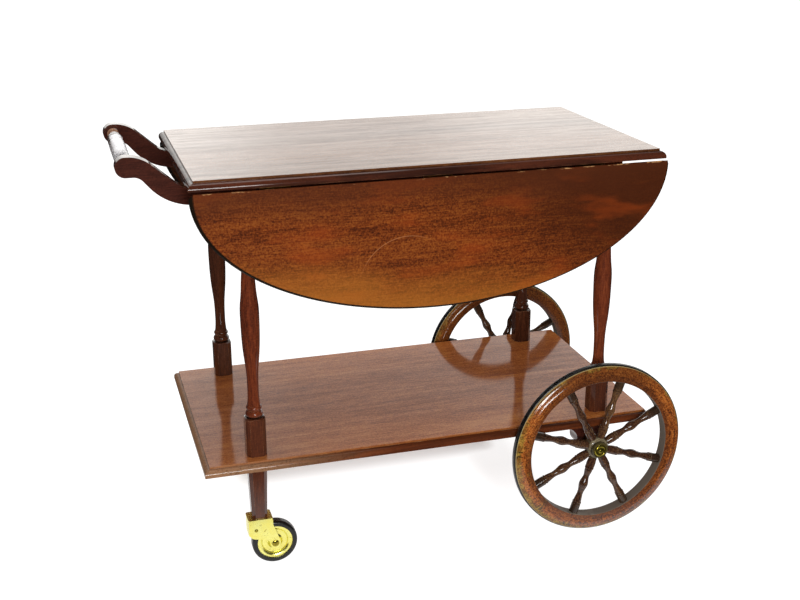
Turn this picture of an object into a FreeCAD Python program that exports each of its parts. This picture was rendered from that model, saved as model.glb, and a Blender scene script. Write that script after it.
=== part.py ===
"""Drop leaf tea trolley: a jointed table on two large spoked wheels and two casters.

The trolley is drawn about the middle of its table, +Z up, with the handle towards -X and the
large wheels towards +X, and is written out about the middle of its own footprint.
"""
import FreeCAD, Part
import math
import os
import re
from FreeCAD import Placement, Rotation, Vector
from Sketcher import Constraint

X_AXIS = Vector(1, 0, 0)
Y_AXIS = Vector(0, 1, 0)
Z_AXIS = Vector(0, 0, 1)
SIDES = (("front", -1), ("back", 1))
ENDS = (("handle", -1), ("wheel", 1))

DIMENSIONS = (
    # table top and the moulding that runs round every board
    ("top_length", 816, "table top, end to end"),
    ("top_height", 700, "floor to the upper face of the top"),
    ("board_thick", 16, "thickness of top, leaves and shelf"),
    ("mould_step", 4, "upright step at the top of the moulding"),
    ("mould_round", 9, "radius of the quarter round below the step"),
    # leaves and their rule joint
    ("leaf_over", 3, "half of what a leaf is longer than the top"),
    ("leaf_shift", 3.5, "middle of the leaves beyond the middle of the top"),
    ("leaf_round", 6, "quarter round on the curved edge of a leaf"),
    ("leaf_depth", 229, "hinge pin to the lowest point of the leaf"),
    ("leaf_straight", 8, "straight side of the leaf below the pin"),
    ("pin_inset", 11.5, "outer edge of the top to the hinge pin"),
    ("rule_gap", 0.35, "running gap in the rule joint"),
    ("leaf_clear", 5.5, "outer faces of the legs to the hinge pins"),
    # hinges
    ("hinge_pitch", 270, "middle of one hinge to the next"),
    ("hinge_width", 50, "hinge along its pin"),
    ("flap_thick", 1.5, "hinge plate"),
    ("flap_relief", 0.3, "hollow under the leaf flap where it crosses the joint"),
    ("top_flap", 30, "reach of the flap let into the top"),
    ("leaf_flap", 45, "reach of the flap on the leaf"),
    ("knuckle_radius", 2.6, "hinge knuckle"),
    ("knuckle_length", 16, "middle knuckle along the pin"),
    ("pin_radius", 1.2, "hinge pin"),
    ("running_fit", 0.05, "radial clearance of a pin or shaft that turns"),
    ("side_gap", 0.3, "gap between faces that turn past each other"),
    ("screw_head", 2.6, "radius of a small round screw head"),
    ("screw_rise", 0.8, "height of a small round screw head"),
    # folding stays
    ("stay_inset", 42.8, "hinge pin inwards to the stay's frame pivot"),
    ("stay_drop", 71.3, "hinge pin down to the stay's frame pivot"),
    ("stay_arm", 69.3, "frame pivot to knee"),
    ("stay_link", 71.3, "knee to leaf pivot"),
    ("stay_reach", 79.2, "hinge pin to the leaf pivot, along the leaf"),
    ("stay_offset", 14.3, "leaf pivot below the leaf's underside"),
    ("stay_strip", 2.5, "thickness of the stay's strips"),
    ("stay_half_width", 4.5, "half the width of a strip"),
    ("stay_eye", 5, "radius of the round ends of the strips"),
    ("bracket_thick", 2, "thickness of the stay's brackets"),
    ("bracket_length", 20, "frame bracket along the apron"),
    ("bracket_height", 32, "height of the frame bracket"),
    ("bracket_lift", 4, "lower edge of the apron up to the frame bracket"),
    ("bracket_eye", 5.65, "radius of the frame bracket's round end"),
    ("leaf_plate_length", 20, "plate under the leaf, along its hinges"),
    ("leaf_plate_width", 26, "plate under the leaf, across the hinges"),
    ("rivet_radius", 2.4, "shank of a stay rivet"),
    ("rivet_head", 4.2, "head of a stay rivet"),
    ("rivet_rise", 1.4, "height of a stay rivet's head"),
    # frame
    ("leg_span", 634, "leg axis to leg axis, along the trolley"),
    ("leg_spread", 370, "leg axis to leg axis, front to back"),
    ("leg_square", 34, "square blocks of the legs"),
    ("leg_chamfer", 6.5, "chamfer on the lower blocks"),
    ("apron_depth", 60, "height of the aprons"),
    ("apron_thick", 18, "thickness of the aprons"),
    ("top_block", 84, "length of the leg's upper block"),
    ("low_block", 69, "length of the leg's lower block"),
    ("leg_belly", 15.9, "largest radius of the turned leg"),
    ("leg_neck", 9.6, "smallest radius of the turned leg"),
    ("leg_land", 1.9, "narrow flats of the turned leg beyond its neck"),
    ("leg_bead", 3.5, "height of the leg's end beads above the flats"),
    ("leg_ring", 2, "height of the leg's small bead above the flats"),
    # shelf and lower legs
    ("shelf_length", 820, "shelf, end to end"),
    ("shelf_overhang", 24, "outer faces of the legs to the long edges of the shelf"),
    ("foot_top", 33, "lower leg across its flats at the shelf"),
    ("foot_tip", 26, "lower leg across its flats at the caster"),
    # large wheels
    ("wheel_radius", 163, "large wheel over its tyre"),
    ("axle_setback", 22, "legs' axes back to the axle"),
    ("rim_width", 24, "width of the wooden rim"),
    ("rim_depth", 28.7, "wooden rim from its inner to its outer face"),
    ("rim_flat", 7, "half the width of the rim's outer face"),
    ("rim_lip", 0.8, "bevel of the rim's inner corners"),
    ("tyre_width", 12, "width of the tyre's seat in the rim"),
    ("tyre_rise", 2.5, "tyre beyond the rim"),
    ("tyre_sink", 2, "depth of the tyre's seat"),
    ("tyre_edge", 3.5, "rounding of the tyre's outer corners"),
    ("spoke_count", 8, "spokes in a wheel"),
    ("spoke_phase", 27, "first spoke above the line to the wheel end, degrees"),
    ("spoke_tenon", 4, "radius of the spokes' tenons"),
    ("tenon_length", 8, "length of the spokes' tenons"),
    ("spoke_seat", 0.3, "a spoke's flat shoulder to the round face that it meets"),
    ("spoke_foot", 7.1, "radius of a spoke at the hub"),
    ("spoke_end", 8.2, "radius of a spoke's plain ends"),
    ("spoke_neck", 5.4, "thinnest radius of a spoke"),
    ("spoke_bulb", 8.2, "radius of a spoke's middle bulb"),
    ("spoke_groove", 1, "depth of the grooves beside a spoke's rings"),
    ("hub_radius", 20, "drum of the hub"),
    ("hub_nose", 15, "nose of the hub"),
    ("hub_clear", 2, "edge of the shelf to the hub's inner face"),
    ("hub_middle", 14.5, "hub's inner face to the middle of the rim"),
    ("hub_drum", 23, "length of the drum"),
    ("hub_length", 30, "length of the hub"),
    ("hub_round", 4, "rounding of the drum's ends"),
    ("cap_radius", 11.5, "brass hub cap"),
    ("cap_proud", 3, "cap beyond the nose"),
    ("cap_rim", 1, "depth of the cap's rim in its recess"),
    ("cap_seat", 4, "depth of the recess behind the cap"),
    ("axle_radius", 6, "axle"),
    ("bush_wall", 2, "wall of the brass bush in the hub"),
    ("washer_thick", 1.4, "axle washers"),
    ("washer_wall", 4, "width of the washers between hub and block"),
    ("spacer_wall", 2.2, "wall of the spacers beside the axle blocks"),
    ("end_washer_wall", 2.4, "width of the washers on the axle's ends"),
    ("end_head", 3, "radius of the small head on an end washer"),
    ("end_head_rise", 0.6, "height of the small head on an end washer"),
    # axle blocks
    ("axle_drop", 34, "underside of the shelf down to the axle"),
    ("block_length", 82, "axle block along the shelf"),
    ("block_ledge", 11, "upright ledge at the top of the axle block"),
    ("block_step", 3, "width of the step under the ledge"),
    ("block_foot", 20, "radius of the axle block round the axle"),
    ("block_width", 34, "axle block, front to back"),
    # casters
    ("caster_radius", 40, "caster wheel over its tyre"),
    ("caster_width", 20, "caster tyre"),
    ("caster_edge", 5, "rounding of the caster tyre's outer corners"),
    ("caster_disc", 31, "radius of the brass disc in the tyre"),
    ("disc_rim", 8, "middle of the disc to the face of its rim"),
    ("disc_dish", 3.8, "middle of the disc to its dished face"),
    ("disc_land", 4, "width of the disc's rim"),
    ("disc_slope", 5, "width of the slope inside the disc's rim"),
    ("disc_boss", 9, "radius of the disc's boss at the cheeks"),
    ("disc_boss_foot", 14, "radius of the disc's boss where it meets the dish"),
    ("caster_trail", 25, "swivel axis to the caster's axle"),
    ("caster_gauge", 22.6, "gap between the fork's cheeks"),
    ("fork_sheet", 2.2, "sheet of the fork"),
    ("fork_front", -3, "axle to the front end of the fork's upper plate"),
    ("fork_rear", 46, "axle to the web of the fork"),
    ("fork_plate", 2.7, "thickness of the fork's upper plate"),
    ("fork_clear", 6.5, "caster's tyre up to the fork's plate"),
    ("fork_corner", 3, "rounding of the fork plate's corners"),
    ("fork_eye", 2.5, "cheek round the axle bolt's head"),
    ("fork_brow", 9, "depth of the cheeks at the front of the plate"),
    ("fork_heel", 15, "axle up to the cheeks' rear corners"),
    ("fork_web", 21, "axle up to the lower edge of the web"),
    ("plate_thick", 2.5, "plate under the lower leg"),
    ("plate_length", 43, "plate under the lower leg, along the trolley"),
    ("plate_width", 34, "plate under the lower leg, front to back"),
    ("plate_corner", 4, "rounding of the plate's corners"),
    ("kingpin_radius", 4, "swivel pin"),
    ("kingpin_head", 7, "head of the swivel pin"),
    ("kingpin_rise", 2, "height of the swivel pin's head"),
    ("kingpin_length", 45, "swivel pin inside the lower leg"),
    ("bolt_radius", 4, "caster axle bolt"),
    ("bolt_head", 6.5, "head of the caster axle bolt"),
    ("bolt_rise", 2.2, "height of the caster axle bolt's heads"),
    ("fork_pin_radius", 2, "pin through both cheeks of the fork"),
    ("fork_pin_head", 3.2, "head of the fork's pin"),
    ("fork_pin_rise", 1.2, "height of the fork pin's heads"),
    ("fork_pin_back", 33, "caster's axle back to the fork's pin"),
    ("fork_pin_up", 30, "caster's axle up to the fork's pin"),
    # handle
    ("handle_reach", 511.5, "middle of the table to the end of the handle"),
    ("handle_rise", 30.7, "upper face of the top up to the handle's highest point"),
    ("handle_end", 33, "height of the arm's round end"),
    ("handle_crest", 40.5, "end of the handle to where its upper edge turns down"),
    ("arm_drop", 27, "upper face of the top down to the arm's upper edge at the apron"),
    ("arm_height", 26, "height of the arm at the apron"),
    ("arm_clear", 11, "end of the top to the arm's upper edge, level with the top's underside"),
    ("arm_throat", 27.5, "depth of the arm under its crest"),
    ("arm_top_bend", 60, "bend of the arm's upper edge at the apron"),
    ("arm_crest_bend", 57, "bend of the arm's upper edge at the crest"),
    ("arm_throat_bend", 20, "bend of the arm's lower edge behind its round end"),
    ("arm_low_bend", 92, "bend of the arm's lower edge at the apron"),
    ("arm_inset", 17, "inner faces of the legs to the arms"),
    ("arm_thick", 22, "thickness of an arm"),
    ("bar_belly", 13.5, "largest radius of the handle bar"),
    ("bar_neck", 6.6, "smallest radius of the handle bar"),
    ("collar_radius", 10, "turned wooden collar beside each arm"),
    ("collar_thick", 5, "thickness of the wooden collars"),
    ("bar_tenon", 6, "radius of the bar's tenons"),
    ("bar_tenon_length", 12, "length of the bar's tenons"),
)

doc = FreeCAD.newDocument("drop_leaf_tea_trolley")
sheet = doc.addObject("Spreadsheet::Sheet", "dims")
for row, (alias, number, meaning) in enumerate(DIMENSIONS, start=1):
    sheet.set("A%d" % row, alias)
    sheet.set("B%d" % row, str(number))
    sheet.set("C%d" % row, meaning)
    sheet.setAlias("B%d" % row, alias)
doc.recompute()

nodes = {}


def size(expression):
    """The number that an expression in the sheet's aliases gives."""
    return float(sheet.evalExpression(expression))


def in_sheet(expression):
    """The same expression as an object outside the sheet has to write it."""
    return re.sub(r"[a-z_]+", lambda word: "dims." + word.group(), expression)


def bind(thing, **properties):
    """Tie properties such as Length to expressions in the sheet's aliases."""
    for name, expression in properties.items():
        thing.setExpression(name.replace("__", "."), in_sheet(expression))
    return thing


def node(name, thing):
    """Name a finished sub-part: its label names its file."""
    thing.Label = name
    nodes[name] = thing
    return thing


def feature(name, shape, place=None):
    """A sub-part or a tool whose shape comes from Part's own functions."""
    thing = doc.addObject("Part::Feature", name)
    thing.Shape = shape
    if place is not None:
        thing.Placement = place
    return thing


def box(name, x, y, z, length, width, height):
    """A block: its low corner and its three sides are expressions."""
    block = doc.addObject("Part::Box", name)
    bind(block, Length=length, Width=width, Height=height)
    return bind(block, Placement__Base__x=x, Placement__Base__y=y, Placement__Base__z=z)


def cut(name, base, *tools):
    """The base with every tool taken away."""
    tool = tools[0] if len(tools) == 1 else fuse(name + "_tools", *tools)
    result = doc.addObject("Part::Cut", name)
    result.Base = base
    result.Tool = tool
    return result


def fuse(name, *pieces):
    result = doc.addObject("Part::MultiFuse", name)
    result.Shapes = list(pieces)
    result.Refine = True
    return result


def rod(axis, radius, start, end, across=0.0, up=0.0):
    """A round bar along the axis "x", "y" or "z", from start to end.

    Along Y, across is x; along X, across is y; along Z, across is x and up is y.
    """
    low, high = min(start, end), max(start, end)
    corner, direction = {
        "x": (Vector(low, across, up), X_AXIS),
        "y": (Vector(across, low, up), Y_AXIS),
        "z": (Vector(across, up, low), Z_AXIS),
    }[axis]
    return Part.makeCylinder(radius, high - low, corner, direction)


# ---------------------------------------------------------------- shapes that repeat


def plane_of(body, role):
    return next(item for item in body.Origin.OriginFeatures if item.Role == role)


def rectangle(body, name, length, width, height):
    """A rectangle about the body's own axis, lying level at a height."""
    sketch = body.newObject("Sketcher::SketchObject", name)
    sketch.AttachmentSupport = [(plane_of(body, "XY_Plane"), "")]
    sketch.MapMode = "FlatFace"
    bind(sketch, AttachmentOffset__Base__z=height)
    half_x = size(length) / 2
    half_y = size(width) / 2
    corners = [Vector(-half_x, -half_y), Vector(half_x, -half_y),
               Vector(half_x, half_y), Vector(-half_x, half_y)]
    for index, corner in enumerate(corners):
        sketch.addGeometry(Part.LineSegment(corner, corners[(index + 1) % 4]), False)
    for index in range(4):
        sketch.addConstraint(Constraint("Coincident", index, 2, (index + 1) % 4, 1))
    for index, kind in enumerate(("Horizontal", "Vertical", "Horizontal", "Vertical")):
        sketch.addConstraint(Constraint(kind, index))
    sketch.addConstraint(Constraint("Symmetric", 0, 1, 1, 2, -1, 1))
    across = sketch.addConstraint(Constraint("DistanceX", 0, 1, 0, 2, 2 * half_x))
    along = sketch.addConstraint(Constraint("DistanceY", 1, 1, 1, 2, 2 * half_y))
    sketch.setExpression("Constraints[%d]" % across, in_sheet(length))
    sketch.setExpression("Constraints[%d]" % along, in_sheet(width))
    return sketch


def pad(body, sketch, length):
    feature_pad = body.newObject("PartDesign::Pad", sketch.Name + "_pad")
    feature_pad.Profile = sketch
    bind(feature_pad, Length=length)
    doc.recompute()
    return feature_pad


def edges_at(shape, height):
    """The names of the edges that lie level at a height."""
    return ["Edge%d" % number for number, edge in enumerate(shape.Edges, start=1)
            if all(abs(vertex.Z - height) < 1e-6 for vertex in edge.Vertexes)]


def moulded_board(name, length, width, top):
    """A board whose edge is a step over a quarter round over a thin square bead."""
    body = doc.addObject("PartDesign::Body", name)
    low = "%s - board_thick" % top
    blank = pad(body, rectangle(body, name + "_blank", length, width, low),
                "board_thick - mould_step")
    rounding = body.newObject("PartDesign::Fillet", name + "_quarter_round")
    rounding.Base = (blank, edges_at(blank.Shape, size("%s - mould_step" % top)))
    bind(rounding, Radius="mould_round")
    doc.recompute()
    field = rectangle(body, name + "_field", "%s - 2 * mould_round" % length,
                      "%s - 2 * mould_round" % width, low)
    pad(body, field, "board_thick")
    return body


def profile_face(start, *strokes):
    """A face between the Z axis and an outline of (z, radius) strokes.

    A stroke is ("line", point), ("bead", point, radius halfway) or ("curve", points...).
    """
    points = [start]
    edges = []
    for kind, *goal in strokes:
        here = points[-1]
        if kind == "line":
            edges.append(Part.LineSegment(on_lathe(here), on_lathe(goal[0])).toShape())
            points.append(goal[0])
        elif kind == "bead":
            halfway = ((here[0] + goal[0][0]) / 2, goal[1])
            arc = Part.Arc(on_lathe(here), on_lathe(halfway), on_lathe(goal[0]))
            edges.append(arc.toShape())
            points.append(goal[0])
        else:
            spline = Part.BSplineCurve()
            spline.interpolate([on_lathe(point) for point in (here, *goal)])
            edges.append(spline.toShape())
            points.append(goal[-1])
    first, last = points[0], points[-1]
    edges.append(Part.LineSegment(on_lathe(last), Vector(0, 0, last[0])).toShape())
    edges.append(Part.LineSegment(Vector(0, 0, last[0]), Vector(0, 0, first[0])).toShape())
    edges.append(Part.LineSegment(Vector(0, 0, first[0]), on_lathe(first)).toShape())
    return Part.Face(Part.Wire(edges))


def on_lathe(point):
    height, radius = point
    return Vector(radius, 0, height)


def turned(start, *strokes):
    """A solid turned about the Z axis."""
    return profile_face(start, *strokes).revolve(Vector(), Z_AXIS, 360)


def rounded_face(corners):
    """A flat face whose corners (point, radius) are rounded by tangent arcs.

    Two roundings that meet on a side share it out, so that neither passes the other.
    """
    count = len(corners)
    points = [point for point, radius in corners]
    half_angles = []
    reaches = []
    for index, (point, radius) in enumerate(corners):
        before = points[index - 1] - point
        after = points[(index + 1) % count] - point
        half_angles.append(before.getAngle(after) / 2)
        reaches.append(radius / math.tan(half_angles[index]))
    shares = []
    for index, point in enumerate(points):
        side = point.distanceToPoint(points[(index + 1) % count])
        wanted = reaches[index] + reaches[(index + 1) % count]
        shares.append(min(1, side / wanted) if wanted else 1)
    edges = []
    ends = []
    for index, corner in enumerate(points):
        reach = reaches[index] * min(shares[index - 1], shares[index])
        if reach == 0:
            ends.append((corner, corner))
            continue
        before = (points[index - 1] - corner).normalize()
        after = (points[(index + 1) % count] - corner).normalize()
        radius = reach * math.tan(half_angles[index])
        inward = (before + after).normalize()
        middle = corner + inward * (radius / math.sin(half_angles[index]) - radius)
        start, end = corner + before * reach, corner + after * reach
        edges.append(Part.Arc(start, middle, end).toShape())
        ends.append((start, end))
    for index in range(count):
        leave = ends[index][1]
        arrive = ends[(index + 1) % count][0]
        if leave.distanceToPoint(arrive) > 1e-6:
            edges.append(Part.LineSegment(leave, arrive).toShape())
    return Part.Face(Part.Wire(Part.__sortEdges__(edges)))


# ---------------------------------------------------------------- frames and derived sizes

TOP_WIDTH = "leg_spread + leg_square + 2 * leaf_clear + 2 * pin_inset"
SHELF_WIDTH = "leg_spread + leg_square + 2 * shelf_overhang"
SHELF_TOP = "wheel_radius + axle_drop + board_thick"
PIN_Y = size("(leg_spread + leg_square) / 2 + leaf_clear")
PIN_Z = size("top_height - board_thick")
LEAF_HALF = size("top_length / 2 + leaf_over")
LIP = size("pin_inset - mould_round + rule_gap")
BEAD = size("board_thick - mould_step - mould_round")
COVE = size("mould_round + rule_gap") + math.hypot(size("pin_inset - mould_round"), BEAD)
LEG_X = size("leg_span / 2")
LEG_Y = size("leg_spread / 2")
FRAME_Y = size("leg_spread / 2 + leg_square / 2")
HINGES = [index * size("hinge_pitch") for index in (-1, 0, 1)]
WHEEL_X = size("leg_span / 2 - axle_setback")
HUB_FACE = size(SHELF_WIDTH) / 2 + size("hub_clear")


def side_frame(side):
    """The frame of one rule joint: X along the pin, Y down from it, Z out from it."""
    axes = FreeCAD.Matrix(side, 0, 0, 0,
                          0, 0, side, side * PIN_Y,
                          0, -1, 0, PIN_Z,
                          0, 0, 0, 1)
    return Placement(axes)


def bar(x_low, x_high, y_low, y_high, z_low, z_high):
    """A block between its faces."""
    return Part.makeBox(x_high - x_low, y_high - y_low, z_high - z_low,
                        Vector(x_low, y_low, z_low))


def dome(radius, rise, base, direction):
    """A round head: a cap of a ball on a flat base."""
    ball = (radius ** 2 + rise ** 2) / (2 * rise)
    head = turned((0, radius), ("curve", *[
        (height, math.sqrt(ball ** 2 - (height + ball - rise) ** 2))
        for height in (rise * 0.4, rise * 0.75)]), ("curve", (rise * 0.98, radius * 0.2)))
    head.Placement = Placement(base, Rotation(Z_AXIS, direction))
    return head


def screw_head(base):
    """A low bevelled screw head that stands down from the leaf's flap."""
    radius = size("screw_head")
    rise = size("screw_rise")
    head = turned((0, radius), ("line", (rise / 2, radius)), ("line", (rise, radius - rise)))
    head.Placement = Placement(base, Rotation(Z_AXIS, -Z_AXIS))
    return head


# ---------------------------------------------------------------- table top and leaves

FLAP = size("flap_thick")
KNUCKLE = size("knuckle_radius")
GROOVE = size("knuckle_radius + side_gap")
HALF_HINGE = size("hinge_width / 2")
HALF_KNUCKLE = size("knuckle_length / 2")
PIN_BORE = size("pin_radius + running_fit")


def pin_line(radius, x_low, x_high):
    """A round bar on the hinge pin's line, in the frame of a rule joint."""
    return rod("x", radius, x_low, x_high)


def hinge_seat(x):
    """What a hinge takes out of the underside of the top."""
    seat = bar(x - HALF_HINGE, x + HALF_HINGE, -FLAP, 0, -size("top_flap"), 0)
    return seat.fuse(pin_line(GROOVE, x - HALF_HINGE, x + HALF_HINGE))


def top_flap(x):
    """The flap let into the top, with the two outer knuckles."""
    flap = bar(x - HALF_HINGE, x + HALF_HINGE, -FLAP, 0, -size("top_flap"), 0)
    flap = flap.fuse(pin_line(KNUCKLE, x - HALF_HINGE, x + HALF_HINGE))
    middle = HALF_KNUCKLE + size("side_gap")
    flap = flap.cut(pin_line(GROOVE, x - middle, x + middle))
    return flap.cut(pin_line(PIN_BORE, x - HALF_HINGE, x + HALF_HINGE)).Solids[0]


def leaf_flap(x):
    """The flap screwed under the leaf, with the middle knuckle."""
    relief = size("flap_relief")
    flap = bar(x - HALF_HINGE, x + HALF_HINGE, 0, size("leaf_flap"), -FLAP, -relief)
    seat = COVE + size("side_gap")
    flap = flap.fuse(bar(x - HALF_HINGE, x + HALF_HINGE, seat, size("leaf_flap"), -FLAP, 0))
    for end in (-1, 1):
        outer = sorted((x + end * HALF_KNUCKLE, x + end * (HALF_HINGE + 1)))
        flap = flap.cut(pin_line(GROOVE, *outer))
    flap = flap.fuse(pin_line(KNUCKLE, x - HALF_KNUCKLE, x + HALF_KNUCKLE))
    return flap.cut(pin_line(PIN_BORE, x - HALF_HINGE, x + HALF_HINGE))


def leaf_shape(middle):
    """A D-shaped leaf with a coved joint edge, drawn in the frame of its rule joint."""
    thick = size("board_thick")
    step = size("mould_step")
    rounding = size("leaf_round")

    def outline(inset):
        low = middle - LEAF_HALF + inset
        high = middle + LEAF_HALF - inset
        straight = size("leaf_straight")
        oval = Part.Ellipse(Vector(middle, straight), LEAF_HALF - inset,
                            size("leaf_depth") - straight - inset)
        curve = Part.ArcOfEllipse(oval, 0, math.pi).toShape()
        corners = [Vector(low, straight), Vector(low, LIP),
                   Vector(high, LIP), Vector(high, straight)]
        sides = [Part.LineSegment(a, b).toShape() for a, b in zip(corners, corners[1:])]
        return Part.Face(Part.Wire(Part.__sortEdges__([curve, *sides])))

    blank = outline(0).extrude(Z_AXIS * (thick - step))
    moulded = [edge for edge in blank.Edges
               if all(abs(vertex.Z - thick + step) < 1e-6 for vertex in edge.Vertexes)
               and edge.CenterOfMass.y > LIP + 1e-3]
    blank = blank.makeFillet(rounding, moulded)
    field = outline(rounding).extrude(Z_AXIS * thick)
    cove = pin_line(COVE, middle - LEAF_HALF, middle + LEAF_HALF)
    return blank.fuse(field).removeSplitter().cut(cove)


top = moulded_board("top_blank", "top_length", TOP_WIDTH, "top_height")
seats = []
for side_name, side in SIDES:
    cuts = Part.makeCompound([hinge_seat(x) for x in HINGES])
    seats.append(feature(side_name + "_hinge_seats", cuts, side_frame(side)))
node("top_board", cut("top_board", top, *seats))

SCREW_ACROSS = HALF_HINGE * 2 / 3
SCREW_ROWS = [size("leaf_flap") * share for share in (1 / 2, 5 / 6)]
top_flaps = []
pins = []
for side_name, side in SIDES:
    frame = side_frame(side)
    leaf = leaf_shape(side * size("leaf_shift"))
    node(side_name + "_leaf", feature(side_name + "_leaf", leaf, frame))
    flaps = Part.makeCompound([leaf_flap(x) for x in HINGES])
    node(side_name + "_hinge_leaf_flaps", feature(side_name + "_leaf_flaps", flaps, frame))
    heads = [screw_head(Vector(x + end * SCREW_ACROSS, row, -FLAP))
             for x in HINGES for end in (-1, 1) for row in SCREW_ROWS]
    screws = feature(side_name + "_leaf_screws", Part.makeCompound(heads), frame)
    node(side_name + "_leaf_hinge_screws", screws)
    for x in HINGES:
        top_flaps.append(top_flap(x).transformed(frame.Matrix))
        pin = pin_line(size("pin_radius"), x - HALF_HINGE, x + HALF_HINGE)
        pins.append(pin.transformed(frame.Matrix))
node("hinge_top_flaps", feature("hinge_top_flaps", Part.makeCompound(top_flaps)))
node("hinge_pins", feature("hinge_pins", Part.makeCompound(pins)))

# ---------------------------------------------------------------- frame under the top


def apron(name, x, y, length, width):
    """An apron board between two legs, its upper edge under the top."""
    board = box(name, x, y, "top_height - board_thick - apron_depth", length, width, "apron_depth")
    return node(name, board)


apron("front_apron", "-(leg_span - leg_square) / 2", "-(leg_spread + leg_square) / 2",
      "leg_span - leg_square", "apron_thick")
apron("back_apron", "-(leg_span - leg_square) / 2", "(leg_spread + leg_square) / 2 - apron_thick",
      "leg_span - leg_square", "apron_thick")
apron("handle_end_apron", "-(leg_span + leg_square) / 2", "-(leg_spread - leg_square) / 2",
      "apron_thick", "leg_spread - leg_square")
apron("wheel_end_apron", "(leg_span + leg_square) / 2 - apron_thick",
      "-(leg_spread - leg_square) / 2", "apron_thick", "leg_spread - leg_square")


def chamfered_square(across, chamfer, height):
    """A square with its four corners taken off, lying level at a height."""
    half = across / 2
    flat = half - chamfer
    corners = []
    for x, y in ((1, 1), (-1, 1), (-1, -1), (1, -1)):
        long_side, short_side = Vector(x * half, y * flat, height), Vector(x * flat, y * half, height)
        corners += [long_side, short_side] if x * y > 0 else [short_side, long_side]
    return Part.makePolygon([*corners, corners[0]])


# Along the turned leg from its lower end, and how full it is there between neck and belly.
LEG_VASE = ((0.1, 0.08), (0.16, 0), (0.26, 0.14), (0.36, 0.63), (0.46, 0.92), (0.55, 1),
            (0.62, 0.94), (0.68, 0.6), (0.76, 0.32), (0.86, 0), (0.92, 0.27))


def upper_leg():
    """Square block, beads, neck, vase, neck, bead and square block, about the Z axis."""
    shelf = size(SHELF_TOP)
    low = shelf + size("low_block")
    high = PIN_Z - size("top_block")
    span = high - low
    neck = size("leg_neck")
    swell = size("leg_belly") - neck
    square = size("leg_square")
    land = neck + size("leg_land")
    bead = land + size("leg_bead")

    def at(share, radius):
        return (low + span * share, radius)

    turning = turned(
        at(0, land),
        ("bead", at(0.038, land), bead),
        ("line", at(0.044, land)),
        ("bead", at(0.066, land), land + size("leg_ring")),
        ("curve", *[at(share, neck + swell * depth) for share, depth in LEG_VASE]),
        ("line", at(0.934, land)),
        ("bead", at(0.975, land), bead),
        ("line", at(1, land)))
    shoulder = square / 4
    corner = square * math.sqrt(2) / 2
    ease = land + (corner - land) * 2 / 3
    pommels = turned(
        (shelf, corner),
        ("line", (low - shoulder, corner)),
        ("curve", (low - shoulder / 4, ease), (low, land)),
        ("line", (high, land)),
        ("curve", (high + shoulder / 4, ease), (high + shoulder, corner)),
        ("line", (PIN_Z, corner)))
    low_square = chamfered_square(square, size("leg_chamfer"), shelf)
    low_block = Part.Face(low_square).extrude(Z_AXIS * size("low_block"))
    high_block = bar(-square / 2, square / 2, -square / 2, square / 2, high, PIN_Z)
    blocks = low_block.common(pommels).fuse(high_block.common(pommels))
    return turning.fuse(blocks).removeSplitter()


LEG = upper_leg()
for side_name, side in SIDES:
    for end_name, end in ENDS:
        name = "%s_%s_leg" % (side_name, end_name)
        node(name, feature(name, LEG, Placement(Vector(end * LEG_X, side * LEG_Y, 0), Rotation())))

# ---------------------------------------------------------------- shelf, lower legs, axle blocks

node("shelf_board", moulded_board("shelf_board", "shelf_length", SHELF_WIDTH, SHELF_TOP))

SHELF_LOW = size("wheel_radius + axle_drop")
FORK_LOW = size("2 * caster_radius + fork_clear")
FORK_TOP = FORK_LOW + size("fork_plate")
PLATE_LOW = FORK_TOP + size("side_gap")
FOOT_Z = PLATE_LOW + size("plate_thick")
PIN_HOLE = size("kingpin_radius")


def lower_leg():
    """A tapering leg with chamfered corners, bored for the caster's pin."""
    chamfer = size("leg_chamfer / leg_square")
    sections = [chamfered_square(across, across * chamfer, height)
                for across, height in ((size("foot_tip"), FOOT_Z), (size("foot_top"), SHELF_LOW))]
    taper = Part.makeLoft(sections, True, True)
    return taper.cut(rod("z", PIN_HOLE, FOOT_Z, FOOT_Z + size("kingpin_length")))


def axle_block():
    """A bracket under the shelf that narrows in two hollow curves to the axle."""
    half = size("block_length / 2")
    foot = size("block_foot")
    ledge = SHELF_LOW - size("block_ledge")
    axle_z = size("wheel_radius")
    step = half - size("block_step")
    hollow_depth = math.hypot(step - foot, ledge - axle_z) / 6
    corners = [Vector(-half, 0, SHELF_LOW), Vector(half, 0, SHELF_LOW), Vector(half, 0, ledge),
               Vector(step, 0, ledge)]
    other = [Vector(-corner.x, 0, corner.z) for corner in reversed(corners[2:])]

    def hollow(start, goal):
        middle = (start + goal) / 2
        inward = Vector(-middle.x, 0, 0).normalize() + Vector(0, 0, 1)
        return Part.Arc(start, middle + inward.normalize() * hollow_depth, goal).toShape()

    right, left = Vector(foot, 0, axle_z), Vector(-foot, 0, axle_z)
    edges = [Part.LineSegment(a, b).toShape() for a, b in zip(corners, corners[1:])]
    edges.append(hollow(corners[-1], right))
    edges.append(Part.Arc(right, Vector(0, 0, axle_z - foot), left).toShape())
    edges.append(hollow(left, other[0]))
    edges.append(Part.LineSegment(other[0], other[1]).toShape())
    edges.append(Part.LineSegment(other[1], corners[0]).toShape())
    outline = Part.Face(Part.Wire(edges))
    width = size("block_width")
    block = outline.extrude(Y_AXIS * width)
    block.translate(Vector(0, -width / 2, 0))
    return block.cut(rod("y", size("axle_radius"), -width, width, 0, axle_z)).Solids[0]


LOWER_LEG = lower_leg()
AXLE_BLOCK = axle_block()
for side_name, side in SIDES:
    name = side_name + "_lower_leg"
    place = Placement(Vector(-LEG_X, side * LEG_Y, 0), Rotation())
    node(name, feature(name, LOWER_LEG, place))
    name = side_name + "_axle_block"
    place = Placement(Vector(WHEEL_X, side * LEG_Y, 0), Rotation())
    node(name, feature(name, AXLE_BLOCK, place))

# ---------------------------------------------------------------- folding leaf stays

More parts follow.
